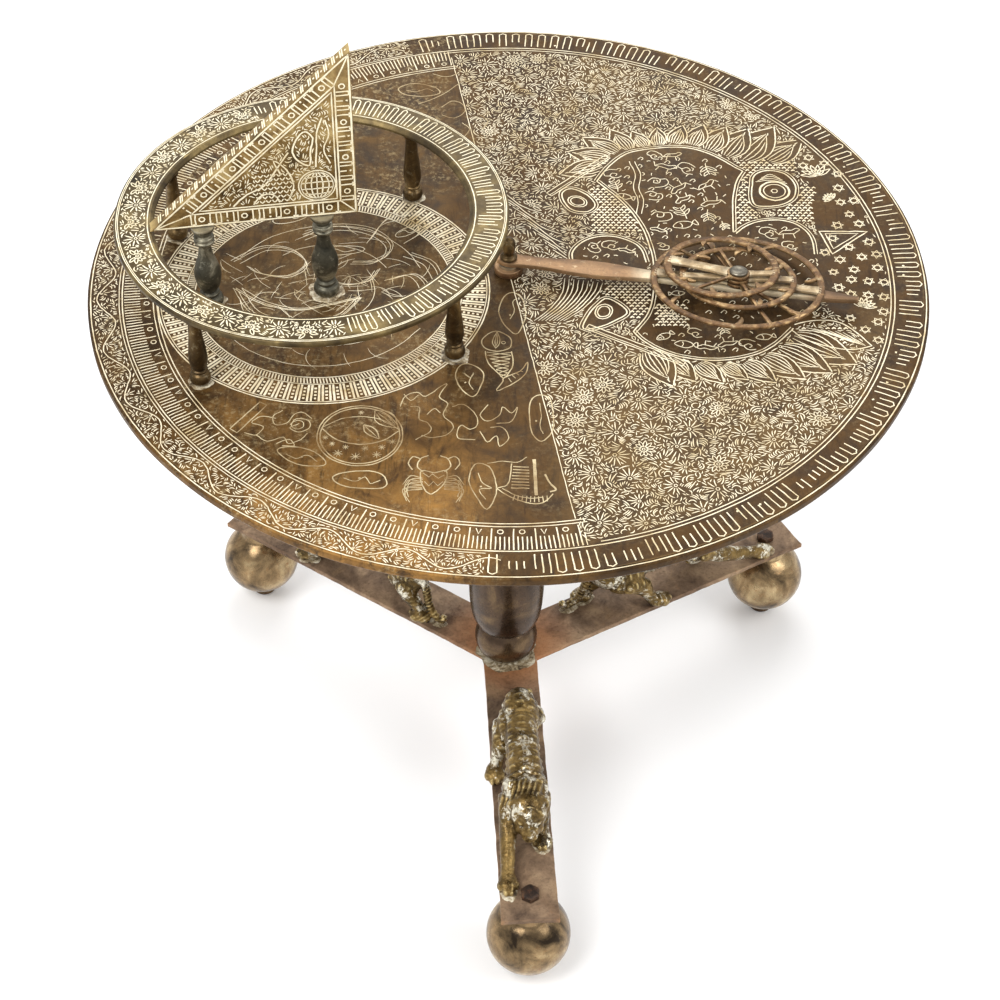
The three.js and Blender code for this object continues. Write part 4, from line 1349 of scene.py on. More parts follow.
def scatter(rng, ground, count, spacing, low, high):
    """Points on free ground, none closer than a spacing."""
    found = []
    for p in rng.uniform(low, high, (count, 2)):
        if not ground.blocked(p)[0] and all(np.hypot(*(p - q)) > spacing for q in found):
            found.append(p)
    return found


def split_line(y):
    """Where the plain half of the top meets the foliate half."""
    return -47 + 0.17375 * (271 - y)


def polar(radius, degrees):
    return radius * toward(math.radians(degrees))


def oval(x, y, wide, tall, turn, count):
    """Points round a turned ellipse."""
    a = np.linspace(0, 2 * math.pi, count, endpoint=False)
    return spun(np.column_stack([wide * np.cos(a), tall * np.sin(a)]), turn) + (x, y)


def palisade(strokes, centre, inner, outer, a0, a1, pitch, width=0.75):
    """Tall narrow hoops round a band, with plain bars and dots between some of them."""
    rng = strokes.rng
    centre = np.array(centre, float)
    tall = outer - inner
    unit = math.degrees(2 / (inner + outer))
    a = a0
    while a < a1:
        low = inner + tall * rng.choice([0.06, 0.06, 0.06, 0.34])
        high = outer - 0.07 * tall
        if rng.random() < 0.72:
            w = 0.25 * pitch * unit
            hoop = [polar(low, a - w), polar(high - 1.5, a - w), polar(high, a), polar(high - 1.5, a + w),
                    polar(low, a + w)]
            strokes.draw(centre + np.array(hoop), width=width)
            a += pitch * unit
        else:
            for _ in range(rng.integers(2, 4)):
                bar_top = high - rng.uniform(0, 0.3) * tall
                strokes.draw(centre + np.array([polar(low, a), polar(bar_top, a)]), width=width)
                a += 0.46 * pitch * unit
            a += 0.2 * pitch * unit
        if rng.random() < 0.16:
            c = centre + polar(inner + rng.uniform(0.15, 0.4) * tall, a - 0.1 * pitch * unit)
            strokes.dot(c[0], c[1], 0.8)


# Outlines of the large medallion and what is round it, in millimetres from the top's centre.
LOBE_TOP = [(66, 104), (72, 116), (80, 128), (90, 138), (102, 142.5), (115, 145), (128, 146), (140, 144),
            (152, 138),
            (162, 130), (170, 122), (176, 117)]
WALL_RIGHT = [(176, 117), (171, 106), (168, 94), (166, 80), (165, 64), (164, 45)]
WALL_LEFT = [(66, 104), (73, 95), (80, 86), (88, 73), (94, 60), (99, 45), (102, 30), (104, 14), (104, -4),
             (103, -20),
             (101, -35), (97, -48), (92, -57), (87, -65)]
LOBE_LOW = [(87, -65), (93, -74), (103, -83), (116, -90), (130, -93.5), (145, -94.5), (160, -92), (173, -87),
            (184, -79), (192, -70), (199, -61)]
NICHE = [(166, 43), (172, 50), (180, 55.5), (190, 58.5), (201, 58.5), (211, 54), (218, 45), (221, 34),
         (221, 20)]
EYE_PATCH = [(183, 76), (180.5, 86), (182, 100), (184, 111), (191, 117), (201, 117), (209, 112), (214, 100),
             (212, 86),
             (204, 78), (194, 75)]
STAR_FIELD = [(216, 122), (224, 140), (236, 140), (252, 105), (262, 68), (270, 10), (268, -36), (256, -84),
              (247, -70),
              (240, -56), (226, -40), (224, -10), (222, 22), (226, 46), (224, 70), (228, 96)]
HALF_ROUND = [(47, 6), (46, 20), (52, 31), (62, 38), (75, 39.5), (88, 34), (96, 25), (99, 10)]
EYE_HIGH = [(40, 90), (47, 95), (58, 88), (64, 76), (58, 68), (47, 70), (41, 80)]
EYE_LOW = [(52, -62), (56, -48), (63, -36), (70, -30), (80, -38), (83, -46), (74, -54), (64, -60)]
HEXAGRAMS = [(222, 124), (247, 114), (246, 97), (246, 80), (256, 82), (251, 66), (241, 53), (257, 55),
             (262, 34),
             (247, 28), (255, 17), (266, 20), (239, 14), (229, 22), (248, 3), (265, 5), (257, -10),
             (268, -11),
             (245, -8), (233, 0), (255, -25), (266, -27), (235, -17), (264, -43), (259, -54), (240, -50),
             (249, -62),
             (257, -73), (227, 134), (238, 127), (236, 38), (243, -24)]
PETALS = [((70, 124), (38, 112)), ((76, 132), (44, 140)), ((82, 139), (56, 158)), ((91, 143), (78, 168)),
          ((104, 147), (94, 166)), ((114, 149), (114, 171)), ((126, 151), (134, 174)),
          ((140, 149), (150, 175)),
          ((152, 143), (167, 172)), ((164, 136), (184, 170)), ((176, 132), (204, 172)),
          ((196, 130), (224, 156)),
          ((97, -86), (112, -121)), ((112, -94), (128, -116)), ((130, -98), (147, -118)),
          ((148, -99), (164, -114)),
          ((162, -97), (183, -117)), ((176, -91), (203, -113)), ((188, -82), (222, -107)),
          ((198, -70), (240, -98))]


def engrave_top(materials):
    """All lines cut into the round top, in pieces by region."""
    def place(points, rise):
        return np.column_stack([points, top_level(points) + rise])

    def free(x, y):
        r = np.hypot(x, y)
        a = np.degrees(np.arctan2(y, x)) % 360
        foliate = (x > split_line(y) + 1.2) & (r < 270.5)
        border = (r > 277.5) & (r < 296.5) & (a > 106) & (a < 267)
        return foliate | border

    ground = Ground(300.0, free)
    interior = LOBE_TOP + WALL_RIGHT[1:] + NICHE[1:] + [(222, -30),
                                                        (214, -48)] + LOBE_LOW[::-1] + WALL_LEFT[::-1][1:]
    for outline in (interior, EYE_PATCH, STAR_FIELD, HALF_ROUND + [(99, -4), (60, -10)], EYE_HIGH, EYE_LOW,
                    arc(0, 0, 11, 0, 360, 24)):
        ground.cover(outline)
    right = Strokes(place, ground, 5)
    engrave_medallion(right)
    right.finish("cut_medallion", materials["chalk"], "root")
    lobes = Ground(300.0, lambda x, y: np.zeros(x.shape, bool))
    for outline in (interior, HALF_ROUND + [(99, -4), (60, -10)]):
        lobes.cover(outline, False)
    motifs = Strokes(place, lobes, 6)
    engrave_motifs(motifs)
    motifs.finish("cut_motifs", materials["chalk"], "root")

    for name, low, high, seed in (("front", (-20, -275), (272, 0), 11), ("back", (-60, 0), (272, 275), 12)):
        half = Strokes(place, ground, seed)
        spots = scatter(half.rng, ground, 4200, 18.0, low, high)
        for n, (x, y) in enumerate(spots):
            turn = half.rng.uniform(0, 2 * math.pi)
            if n % 6 == 0:
                palmette(half, x, y, turn, half.rng.uniform(8, 10), 12, 165, loops=True)
            else:
                palmette(half, x, y, turn, half.rng.uniform(7.5, 10.5), half.rng.integers(7, 10), 95)
        fill_with_leaves(half, 16000, low, high, 0.78, (5.0, 10.0), 1.4, 1.0)
        fill_with_leaves(half, 50000, low, high, 0.72, (3.0, 5.0), 1.3, 0.98)
        half.finish("cut_foliage_" + name, materials["chalk"], "root")

    bands = Strokes(place, ground, 21)
    engrave_bands(bands)
    engrave_annulus(bands)
    engrave_faint(bands)
    bands.finish("cut_bands", materials["chalk"], "root")
    figures = Strokes(place, ground, 22)
    engrave_figures(figures)
    figures.finish("cut_figures", materials["chalk_faint"], "root")


def engrave_bands(s):
    """Rim lines, hoops, the divided scale and the foliate border."""
    for radius in (297.3, 275.2):
        s.ring(0, 0, radius, step=5, width=0.8, shake=0.05)
    s.ring(0, 0, 272.4, -77.5, 101, step=5, width=0.7, shake=0.05)
    for radius in (251.0, 253.6):
        s.ring(0, 0, radius, 99.5, 281.5, step=5, width=0.7, shake=0.05)
    s.ring(0, 0, 277.4, 106, 267, step=5, width=0.6, shake=0.05)
    s.draw([(split_line(y), y) for y in np.linspace(-246, 262, 60)], width=0.6)
    palisade(s, (0, 0), 277.0, 296.5, -92, 105, 10.4, 0.85)
    for n, a in enumerate(np.arange(100.2, 281, 0.62)):
        long = n % 5 == 0
        s.draw([polar(255.5 if long else 262.5, a), polar(273.8, a)], width=0.85 if long else 0.75)
        if n % 5 == 2:
            c = polar(258.2, a)
            kind = (n // 5) % 3
            if kind < 2:
                s.ring(c[0], c[1], 1.9, step=1.5, width=0.65, shake=0.04)
            else:
                s.draw([polar(256, a - 0.4), polar(260.5, a), polar(256.4, a + 0.4)], width=0.65)
    # a wavy stem with side curls, then leaves packed round it
    for a in np.arange(107, 266, 5.4):
        s.curve([polar(287 + 6 * math.sin(math.radians(33.3 * (a + k))), a + k) for k in np.arange(0, 5.41,
                                                                                                   1.35)],
                width=0.75, steps=2)
        c = polar(287 + 4.5 * math.sin(math.radians(33.3 * a + 180)), a + 2.7)
        palmette(s, c[0], c[1], math.radians(a + 90 * (1 if int(a) % 2 else -1)), 6.5, 7, 110, 0.7)
    for low, high in (((-300, -300), (-150, 0)), ((-300, 0), (-150, 300)), ((-150, -300), (-10, -180)),
                      ((-150, 180), (-60, 300))):
        fill_with_leaves(s, 30000, low, high, 0.8, (3.0, 6.0), 1.4, 1.05)


ANNULUS_CENTRE = (-131.0, -22.0)


def engrave_annulus(s):
    """The divided ring on the table under the raised one."""
    cx, cy = ANNULUS_CENTRE
    centre = np.array([cx, cy])
    for radius, width in ((117.5, 0.9), (115.6, 0.6), (98.2, 0.7), (91.5, 0.8)):
        s.ring(cx, cy, radius, step=4, width=width, shake=0.05)
    for n, a in enumerate(np.arange(0, 360, 1.35)):
        inner, outer = centre + polar(99, a), centre + polar(114.8, a)
        if n % 3 == 2:
            for r in (101.5, 104.8, 108.1, 111.4):
                d = centre + polar(r, a)
                s.draw([d, d + polar(1.6, a)], width=1.7, shake=0.03)
        else:
            s.draw([inner, outer], width=1.5, shake=0.05)
        s.draw([centre + polar(92.4, a), centre + polar(97.3, a + 0.5)], width=0.9, shake=0.05)


def engrave_faint(s):
    """Thin crescents, profiles and ovals inside the divided ring."""
    faint = {"width": 0.42, "steps": 5}
    for points in ([(-196, -20), (-180, -48), (-150, -60), (-120, -52), (-104, -30)],
                   [(-196, -20), (-176, -36), (-150, -44), (-126, -38), (-104, -30)],
                   [(-150, 40), (-128, 52), (-100, 48), (-84, 30), (-92, 12), (-112, 10)],
                   [(-100, 36), (-88, 60), (-66, 66), (-58, 50), (-70, 36)],
                   [(-200, 10), (-180, 26), (-158, 24), (-146, 8), (-158, -6), (-178, -4), (-188, 4)],
                   [(-140, -70), (-118, -80), (-96, -74), (-80, -60)],
                   [(-190, -62), (-168, -80), (-150, -84)],
                   [(-84, -10), (-66, -4), (-56, -20), (-64, -38), (-82, -40)],
                   [(-132, 4), (-120, -14), (-100, -12), (-92, 2)], [(-70, 20), (-54, 10), (-46, -8)]):
        s.curve(points, **faint)
        s.curve(np.array(points) * 0.965 + np.array(ANNULUS_CENTRE) * 0.035, **faint)
        s.curve(np.array(points) * 0.9 + np.array(ANNULUS_CENTRE) * 0.1, **faint)
    for radius, start, end in ((80, 200, 330), (72, 20, 150), (60, 190, 300), (50, 30, 130), (36, 210, 380)):
        s.curve(arc(*ANNULUS_CENTRE, radius, start, end, 9), **faint)
    for _ in range(130):
        start = np.array(ANNULUS_CENTRE) + polar(s.rng.uniform(8, 70), s.rng.uniform(0, 360))
        line = walk(start, s.rng.uniform(0, 6.28), s.rng.uniform(-0.09, 0.09), s.rng.uniform(10, 24), 2.0)
        s.draw(line, width=0.36, taper=0.7, shake=0.03)
    for x, y, w, h, turn in ((-122, 22, 18, 5, 0.1), (-166, -66, 9, 6, 0.3), (-92, -58, 8, 5, 0.9),
                             (-74, 44, 10, 4, 0.6),
                             (-160, 60, 14, 6, 0.4)):
        s.draw(oval(x, y, w, h, turn, 16), closed=True, width=0.5)
        s.curve([(x - 0.6 * w, y - 1), (x - 0.2 * w, y + 1.6), (x + 0.2 * w, y - 1.6), (x + 0.6 * w, y + 1)],
                width=0.5)


def engrave_figures(s):
    """Line figures in the plain half."""
    bold = {"width": 0.8}
    fine = {"width": 0.6}
    # roundel with a crescent and small stars
    for radius in (28.6, 26.6):
        s.ring(-99, -170, radius, step=3.5, **bold)
    s.curve([(-125, -163), (-114, -174), (-99, -178.5), (-84, -175), (-72.5, -165)], **bold)
    s.curve([(-125, -163), (-112, -154), (-97, -152), (-83, -156), (-72.5, -165)], **fine)
    s.leaf((-90, -146), (-74, -163), 0.3, 3, **fine)
    s.leaf((-97, -160), (-86, -173), 0.22, 1, **bold)
    for x, y, r in ((-122, -172, 2.2), (-113, -187, 3.4), (-101, -190, 3.6), (-87, -188, 3.2),
                    (-95, -182, 2.4),
                    (-84, -181, 2.6), (-77, -176, 2.6), (-108, -181, 2.2), (-117, -178, 2.0),
                    (-99, -148, 2)):
        s.star(x, y, r, 4, width=0.6)
    # fish
    s.curve([(-9, -65), (-18, -73), (-17, -82), (-8, -86), (1, -82), (1, -72)], closed=True, **bold)
    s.leaf((-9, -83), (-8, -66), 0.16, 2, **fine)
    s.ring(-3.5, -77, 1.4, step=1.2, width=0.5)
    s.curve([(-16, -86), (-14, -98), (-4, -113)], **bold)
    s.curve([(2, -86), (3, -100), (-2, -113)], **bold)
    for k in range(7):
        y = -87 - 3.6 * k
        s.draw([(-15 + 1.3 * k, y), (1.5 - 0.4 * k, y - 3)], **fine)
        s.draw([(-14.5 + 1.5 * k, y - 3.4), (2 - 0.5 * k, y)], **fine)
    s.curve([(-3, -113), (8, -106), (13, -97), (12, -108), (4, -118), (-8, -126), (-4, -117)], closed=True,
            **bold)
    for k in range(4):
        s.draw([(0 + 2.6 * k, -113 + 2.4 * k), (2 + 2.6 * k, -117 + 3.4 * k)], **fine)
    # leaf-shaped panels with curls in them
    for panel, curl in (
            ([(5, -68), (-3, -58), (-7, -44), (-3, -28), (4, -24), (10, -32), (12, -46), (10, -58)],
             [(1, -52), (4, -44), (3, -34), (6, -30)]),
            ([(-24, -132), (-31, -126), (-36, -114), (-35, -104), (-30, -99), (-22, -102), (-17, -110),
              (-19, -122)],
             [(-31, -108), (-26, -113), (-24, -108), (-27, -118), (-24, -125)]),
            ([(-14, -238), (-21, -226), (-26, -212), (-22, -197), (-13, -199), (-9, -210), (-8, -224)],
             [(-20, -205), (-17, -214), (-11, -219), (-19, -220), (-15, -229)]),
            ([(22, -175), (16, -168), (14, -152), (15, -136), (21, -130), (28, -134), (30, -150),
              (29, -166)],
             [(21, -138), (22, -150), (21, -160), (23, -168)]),
            ([(-115, -209), (-104, -204), (-88, -204), (-80, -211), (-82, -219), (-100, -219), (-110, -216)],
             [(-108, -210), (-100, -213), (-94, -209), (-90, -215), (-84, -212)]),
            ([(-153, -184), (-142, -181), (-128, -186), (-120, -197), (-132, -199), (-145, -194)],
             [(-147, -188), (-140, -192), (-133, -189), (-126, -195)]),
            ([(-86, 221), (-74, 227), (-58, 222), (-54, 214), (-68, 210), (-82, 213)],
             [(-80, 218), (-72, 216), (-64, 220), (-58, 216)])):
        s.curve(panel, closed=True, **bold)
        s.curve(curl, **fine)
        s.dot(panel[0][0] * 0.5 + panel[3][0] * 0.5, panel[0][1] * 0.5 + panel[3][1] * 0.5)
    # ribbed boat
    s.draw([(17, -192), (17.4, -208), (18, -225)], width=2.2)
    for k in range(8):
        s.draw([(3 - 0.2 * k, -199 - 2.8 * k), (13.5, -199.5 - 2.8 * k)], width=0.9)
    s.curve([(2, -196), (1, -208), (-1, -216), (-8, -219)], **bold)
    s.curve([(-8, -219), (0, -226), (12, -232), (22, -232), (29, -224)], **bold)
    s.curve([(-4, -219), (4, -225), (14, -228), (22, -227)], **fine)
    for k in range(9):
        s.draw([(4 + 2.6 * k, -225 - 1.2 * math.sin(k / 3)), (3 + 2.8 * k, -230 - 1.4 * math.sin(k / 3))],
               **fine)
    s.curve([(-14, -196), (-4, -194), (6, -195), (12, -190)], **fine)
    s.curve([(24, -206), (27, -214), (31, -220), (27, -222)], width=1.2)
    # crab
    s.curve([(-57, -203), (-49, -205), (-41, -203), (-41, -212), (-47, -222), (-52, -224), (-57, -214)],
            closed=True,
            **bold)
    s.draw([(-56, -205), (-52, -209), (-50, -206), (-46, -210), (-42, -207)], **fine)
    s.draw([(-55, -213), (-52, -217), (-49, -213), (-46, -217), (-43, -213)], **fine)
    for k in (-1, 1):
        c = -49.0
        s.curve([(c + 7 * k, -204), (c + 11 * k, -199), (c + 9 * k, -192), (c + 4 * k, -189)], **bold)
        s.curve([(c + 9 * k, -192), (c + 14 * k, -190), (c + 17 * k, -196), (c + 14 * k, -202)], **bold)
        for n in range(4):
            s.curve([(c + 7 * k, -210 - 3 * n), (c + (15 + 1.5 * n) * k, -208 - 4 * n),
                     (c + (20 - n) * k, -216 - 5 * n)],
                    **fine)
            s.curve([(c + 7 * k, -211 - 3 * n), (c + (14 + 1.5 * n) * k, -210.5 - 4 * n),
                     (c + (18 - n) * k, -217 - 5 * n)],
                    **fine)
    # beasts
    for line in ([(-73, -142), (-70, -132), (-62, -128), (-56, -132), (-46, -122), (-42, -120), (-47, -132),
                  (-41, -139),
                  (-44, -150), (-37, -160), (-40, -168), (-50, -172), (-58, -170)],
                 [(-66, -142), (-60, -143), (-60, -154), (-54, -158), (-52, -166), (-62, -174)],
                 [(-71, -130), (-66, -136), (-61, -131)], [(-55, -150), (-50, -144), (-46, -148)],
                 [(-38, -142), (-30, -140), (-22, -150), (-21, -160), (-26, -164), (-32, -160), (-34, -172),
                  (-22, -174)],
                 [(-14, -140), (-19, -150), (-14, -156), (-6, -150), (-4, -142), (2, -148), (6, -142),
                  (2, -156), (-8, -158)],
                 [(-19, -166), (-14, -176), (-8, -170), (-6, -180), (0, -172), (-4, -162), (-12, -162)],
                 [(-152, -146), (-158, -152), (-156, -160), (-148, -158), (-144, -150), (-138, -148),
                  (-132, -154)],
                 [(-146, -160), (-142, -154), (-134, -156), (-133, -163), (-140, -167), (-146, -163),
                  (-140, -159)],
                 [(-176, -168), (-168, -170), (-164, -162), (-172, -158), (-166, -152), (-156, -154)],
                 [(-168, -170), (-160, -176), (-150, -172), (-146, -178), (-138, -174), (-134, -168)],
                 [(-154, -178), (-146, -174), (-142, -180), (-150, -180)],
                 [(-52, 196), (-44, 204), (-36, 200), (-34, 190), (-42, 182), (-52, 186)],
                 [(-70, 200), (-60, 206), (-50, 214), (-40, 226), (-34, 234)],
                 [(-36, 176), (-30, 168), (-34, 156), (-26, 146), (-30, 134)],
                 [(-60, 240), (-48, 236), (-38, 244), (-44, 252)],
                 [(-26, 128), (-18, 118), (-22, 104), (-14, 96)],
                 [(-12, 84), (-6, 76), (-10, 66)], [(-22, 186), (-16, 178), (-20, 168)]):
        s.curve(line, width=0.65, steps=4)
    s.draw([(-186, -164), (-168, -138), (-163, -141), (-181, -168)], closed=True, **bold)
    s.ring(-141, -160, 4.2, step=2, **fine)


def engrave_medallion(s):
    """The large medallion, its petals and the star field beside it."""
    double = ((0.0, 0.95), (2.2, 0.6))
    for line, closed in ((LOBE_TOP, False), (WALL_LEFT, False), (WALL_RIGHT, False), (LOBE_LOW, False),
                         (NICHE, False),
                         (HALF_ROUND, False), (EYE_PATCH, True), (EYE_HIGH, True), (EYE_LOW, True)):
        smooth_line = curve_through(line, 4, closed)
        side = left_of(unit(np.gradient(smooth_line, axis=0)))
        for offset, width in double:
            s.draw(smooth_line + side * offset, width=width, closed=closed, shake=0.06)
    for base, tip in PETALS:
        petal(s, np.array(base, float), np.array(tip, float))
    s.curve([(200, -57), (212, -53), (228, -53), (240, -62), (252, -79)], width=0.9)
    s.curve([(252, -79), (238, -83), (222, -80), (206, -72), (198, -63)], width=0.9)
    for k in range(6):
        s.curve([(208 + 5 * k, -60 - 1.0 * k), (222 + 4 * k, -66 - 1.5 * k), (240 + 1.5 * k, -76 - 0.6 * k)],
                width=0.8,
                taper=0.6)
    # bars beside the two eyes
    for a, b in (((30, 88), (75, 134)), ((55, -60), (121, -98))):
        a, b = np.array(a, float), np.array(b, float)
        n = 2.6 * left_of(unit(b - a))
        s.draw([a - n, b - n, b + n, a + n], closed=True, width=0.8)
        s.draw([a - 0.3 * n, b - 0.3 * n], width=0.6)
    for x, y, w, h, turn in ((51, 80, 7.5, 6, -0.6), (67, -44, 6, 8, -0.3)):
        for grow in (1.0, 0.72):
            s.draw(oval(x, y, w * grow, h * grow, turn, 14), closed=True, width=0.8)
    for radius, width in ((11, 1.5), (8, 0.8), (2.4, 0.8)):
        s.ring(198, 93, radius, step=2.2, width=width)
    for k in range(4):
        s.curve([(185 + 1.6 * k, 104 + 1.5 * k), (196, 106 + 2.4 * k), (208 - 1.5 * k, 102 + 2 * k)],
                width=0.6)
    # triangle, stars and shells
    s.draw([(227, 46), (262, 46), (234, 20)], closed=True, width=1.0)
    s.draw([(231, 43.6), (255, 43.6), (235.5, 26)], closed=True, width=0.7)
    for x, y in HEXAGRAMS:
        s.hexagram(x, y, 4.3 + s.rng.uniform(-0.5, 0.5), width=0.75)
    for x, y, size, turn in ((232, 112, 13, 1.9), (250, -38, 10, 1.2), (240, 84, 7, 2.4)):
        palmette_free(s, x, y, size, turn)
    # scaly ground between the outlines, the last patch inside the medallion itself
    for low, high, anywhere in (((62, 46), (98, 96), False), ((70, -50), (101, -12), False),
                                ((167, 46), (183, 130), False), ((200, 58), (228, 100), False),
                                ((204, -76), (236, -58), False), ((180, 118), (216, 138), False),
                                ((104, -58), (126, -34), True)):
        for row, y in enumerate(np.arange(low[1], high[1], 3.0)):
            for x in np.arange(low[0] + 2.1 * (row % 2), high[0], 4.2):
                p = np.array([x, y])
                if anywhere or not s.ground.blocked(p)[0]:
                    s.draw([p - (1.3, 0.5), p + (0.2, 0.9), p + (1.4, -0.4)], width=1.7, taper=0.4,
                           clearance=1.2)
    # sweeping strokes left of the medallion
    for k in range(26):
        y = 92 - 3.1 * k
        x = split_line(y) + 14 + 1.3 * k
        line = curve_through([(x - 10, y + 6), (x, y - 4), (x + 12, y - 18), (x + 26, y - 26)], 5)
        line = until_blocked(s.ground, line)
        if len(line) > 3:
            s.draw(line, width=0.8, taper=0.5, clearance=1.2)
    for k in range(15):
        line = curve_through([(40 + 3.4 * k, -8 - 0.6 * k), (38 + 3.2 * k, -24), (30 + 2.9 * k, -40),
                              (18 + 2.6 * k, -54)], 5)
        line = until_blocked(s.ground, line)
        if len(line) > 3:
            s.draw(line, width=0.8, taper=0.5, clearance=1.2)


def engrave_motifs(s):
    """Small plants and beasts on the dark ground, with curls between them."""
    for line in (LOBE_TOP, WALL_LEFT, WALL_RIGHT, LOBE_LOW, NICHE, HALF_ROUND):
        s.ground.mark(dense(np.array(line, float)), 4.0)
    for offset in (0, 4):
        s.curve([(91 + offset, 128), (95 + offset, 112), (93 + offset, 96), (96 + offset, 82),
                 (94 + offset, 66)],
                width=0.6)
    for x, y, size in ((78, 113, 7), (80, 99, 7), (86, 86, 6), (110, 136, 6), (124, 135, 7), (118, 121, 8),
                       (134, 120, 8),
                       (150, 118, 8), (112, 103, 8), (108, 87, 7), (126, 97, 8), (129, 84, 7), (148, 99, 8),
                       (113, 63, 8),
                       (128, 68, 8), (128, 53, 8), (110, 48, 6), (150, 80, 8), (147, 63, 7), (158, 52, 5),
                       (112, 28, 5),
                       (190, 44, 8), (205, 44, 8), (204, 30, 6), (62, 26, 6), (74, 29, 7), (86, 24, 6),
                       (108, -70, 6),
                       (122, -78, 7), (138, -80, 7), (152, -76, 7), (166, -78, 7), (178, -70, 6),
                       (130, -66, 6),
                       (150, -62, 6), (120, -24, 5), (112, -46, 5)):
        small_motif(s, x, y, 1.1 * size)
    for x, y in scatter(s.rng, s.ground, 2600, 7.0, (46, -94), (222, 146)):
        if s.rng.random() < 0.5:
            s.on_free(curve_through([(x - 2.4, y - 1), (x, y + 1.6), (x + 2, y), (x + 0.4, y - 2)], 4),
                      width=0.6,
                      clearance=1.0)
        else:
            for turn in s.rng.uniform(0, 6.28) + np.array([0, 0.7, 1.4]):
                s.on_free(walk((x, y), turn, 0.2, 4.0, 1.0), width=0.6, clearance=0.8)


def petal(s, base, tip):
    """A broad pointed petal with cuts that follow its shape, tucked under those cut before it."""
    d = tip - base
    n = left_of(d)
    t = np.linspace(0, 1, 12)[:, None]
    swell = 0.3 * np.sin(math.pi * (0.16 + 0.84 * t) ** 0.9)

    def rib(v, stop=1.0):
        return base + t * stop * d + v * swell * n

    for v in (-1, 1):
        s.on_free(rib(v), width=0.95, clearance=0.6)
    for v in (-0.72, -0.44, -0.16, 0.16, 0.44, 0.72):
        s.on_free(rib(v, 0.9 - 0.2 * abs(v)), width=0.8, clearance=0.6, taper=0.4)
    s.ground.cover(np.vstack([rib(-1), rib(1)[::-1]]))


def palmette_free(s, x, y, size, turn):
    """A shell of petals, cut whatever is under it."""
    for a in np.linspace(-70, 70, 7):
        heading = turn + math.radians(a)
        tip = np.array([x, y]) + size * toward(heading)
        s.leaf((x, y), tip, 0.16, 0, width=0.8)


def small_motif(s, x, y, size):
    """One of a few small plants and beasts, in outline."""
    kind = s.rng.integers(0, 4)
    turn = s.rng.uniform(-0.6, 0.6) + (math.pi if s.rng.random() < 0.5 else 0)

    def put(points, **style):
        p = spun(np.array(points, float) * size, turn) + (x, y)
        s.curve(p, width=0.62, steps=3, clearance=0.8, **style)

    if kind == 0:
        put([(-0.9, -0.2), (-0.5, 0.3), (0.2, 0.35), (0.6, 0.6), (0.9, 0.4), (0.6, 0.1), (0.3, -0.1),
             (-0.5, -0.1)],
            closed=True)
        put([(-0.5, -0.1), (-0.6, -0.7)])
        put([(0.3, -0.1), (0.4, -0.7)])
        put([(-0.9, -0.2), (-1.2, 0.3)])
    elif kind == 1:
        put([(0, -1), (0.1, -0.3), (0, 0.6)])
        for k in (-1, 1):
            put([(0, -0.5), (0.5 * k, -0.2), (0.7 * k, 0.2), (0.3 * k, 0.0), (0, -0.3)])
            put([(0, 0.1), (0.4 * k, 0.4), (0.5 * k, 0.8), (0.1 * k, 0.5)])
    elif kind == 2:
        put([(-0.8, 0), (-0.3, 0.45), (0.4, 0.35), (0.9, 0), (0.4, -0.4), (-0.3, -0.4)], closed=True)
        put([(-0.8, 0), (-1.2, 0.35), (-1.15, -0.35)], closed=True)
        put([(0.2, 0.3), (0.1, 0.0), (0.2, -0.3)])
    else:
        put([(-0.8, 0.5), (-0.2, 0.7), (0.3, 0.3), (0, -0.1), (-0.4, 0.1), (-0.2, 0.4)])
        put([(0.3, 0.3), (0.8, 0.1), (0.7, -0.5), (0.1, -0.7), (-0.6, -0.5)])


def engrave_ring(materials):
    """Flowers on one side of the raised ring, hoops on the other."""
    inner, outer = RING_OUTER - RING_BAND + 3.6, RING_OUTER - 1.6
    top = float(RING_HIGH[2])

    def place(points, rise):
        return np.column_stack([points + RING_CENTRE, top + rise])

    def free(x, y):
        r = np.hypot(x, y)
        a = np.degrees(np.arctan2(y, x)) % 360
        return (r > inner + 1.6) & (r < outer - 1.2) & (a > 112) & (a < 284)

    s = Strokes(place, Ground(140.0, free), 31, 0.08)
    for radius, width in ((inner + 0.6, 0.7), (outer - 0.3, 0.6), (outer - 1.4, 0.5)):
        s.ring(0, 0, radius, step=4, width=width, shake=0.04)
    palisade(s, (0, 0), inner + 1.6, outer - 1.6, -75, 110, 7.0, 0.75)
    for n, a in enumerate(np.arange(117, 282, 8.6)):
        c = polar((inner + outer) / 2 + 1.5 * (-1) ** n, a)
        palmette(s, c[0], c[1], math.radians(a), 8.8, 11, 165, 0.95, loops=n % 2 == 0)
    fill_with_leaves(s, 30000, (-140, -140), (140, 140), 0.9, (2.6, 6.0), 1.25, 0.95)
    s.finish("cut_ring", materials["chalk_bright"], "root")
    # a dark groove just inside the outer edge
    dark = Strokes(place, None, 32, 0.05)
    dark.ring(0, 0, outer - 0.9, step=4, width=0.5, shake=0.02)
    dark.finish("cut_ring_dark", materials["groove_dark"], "root")


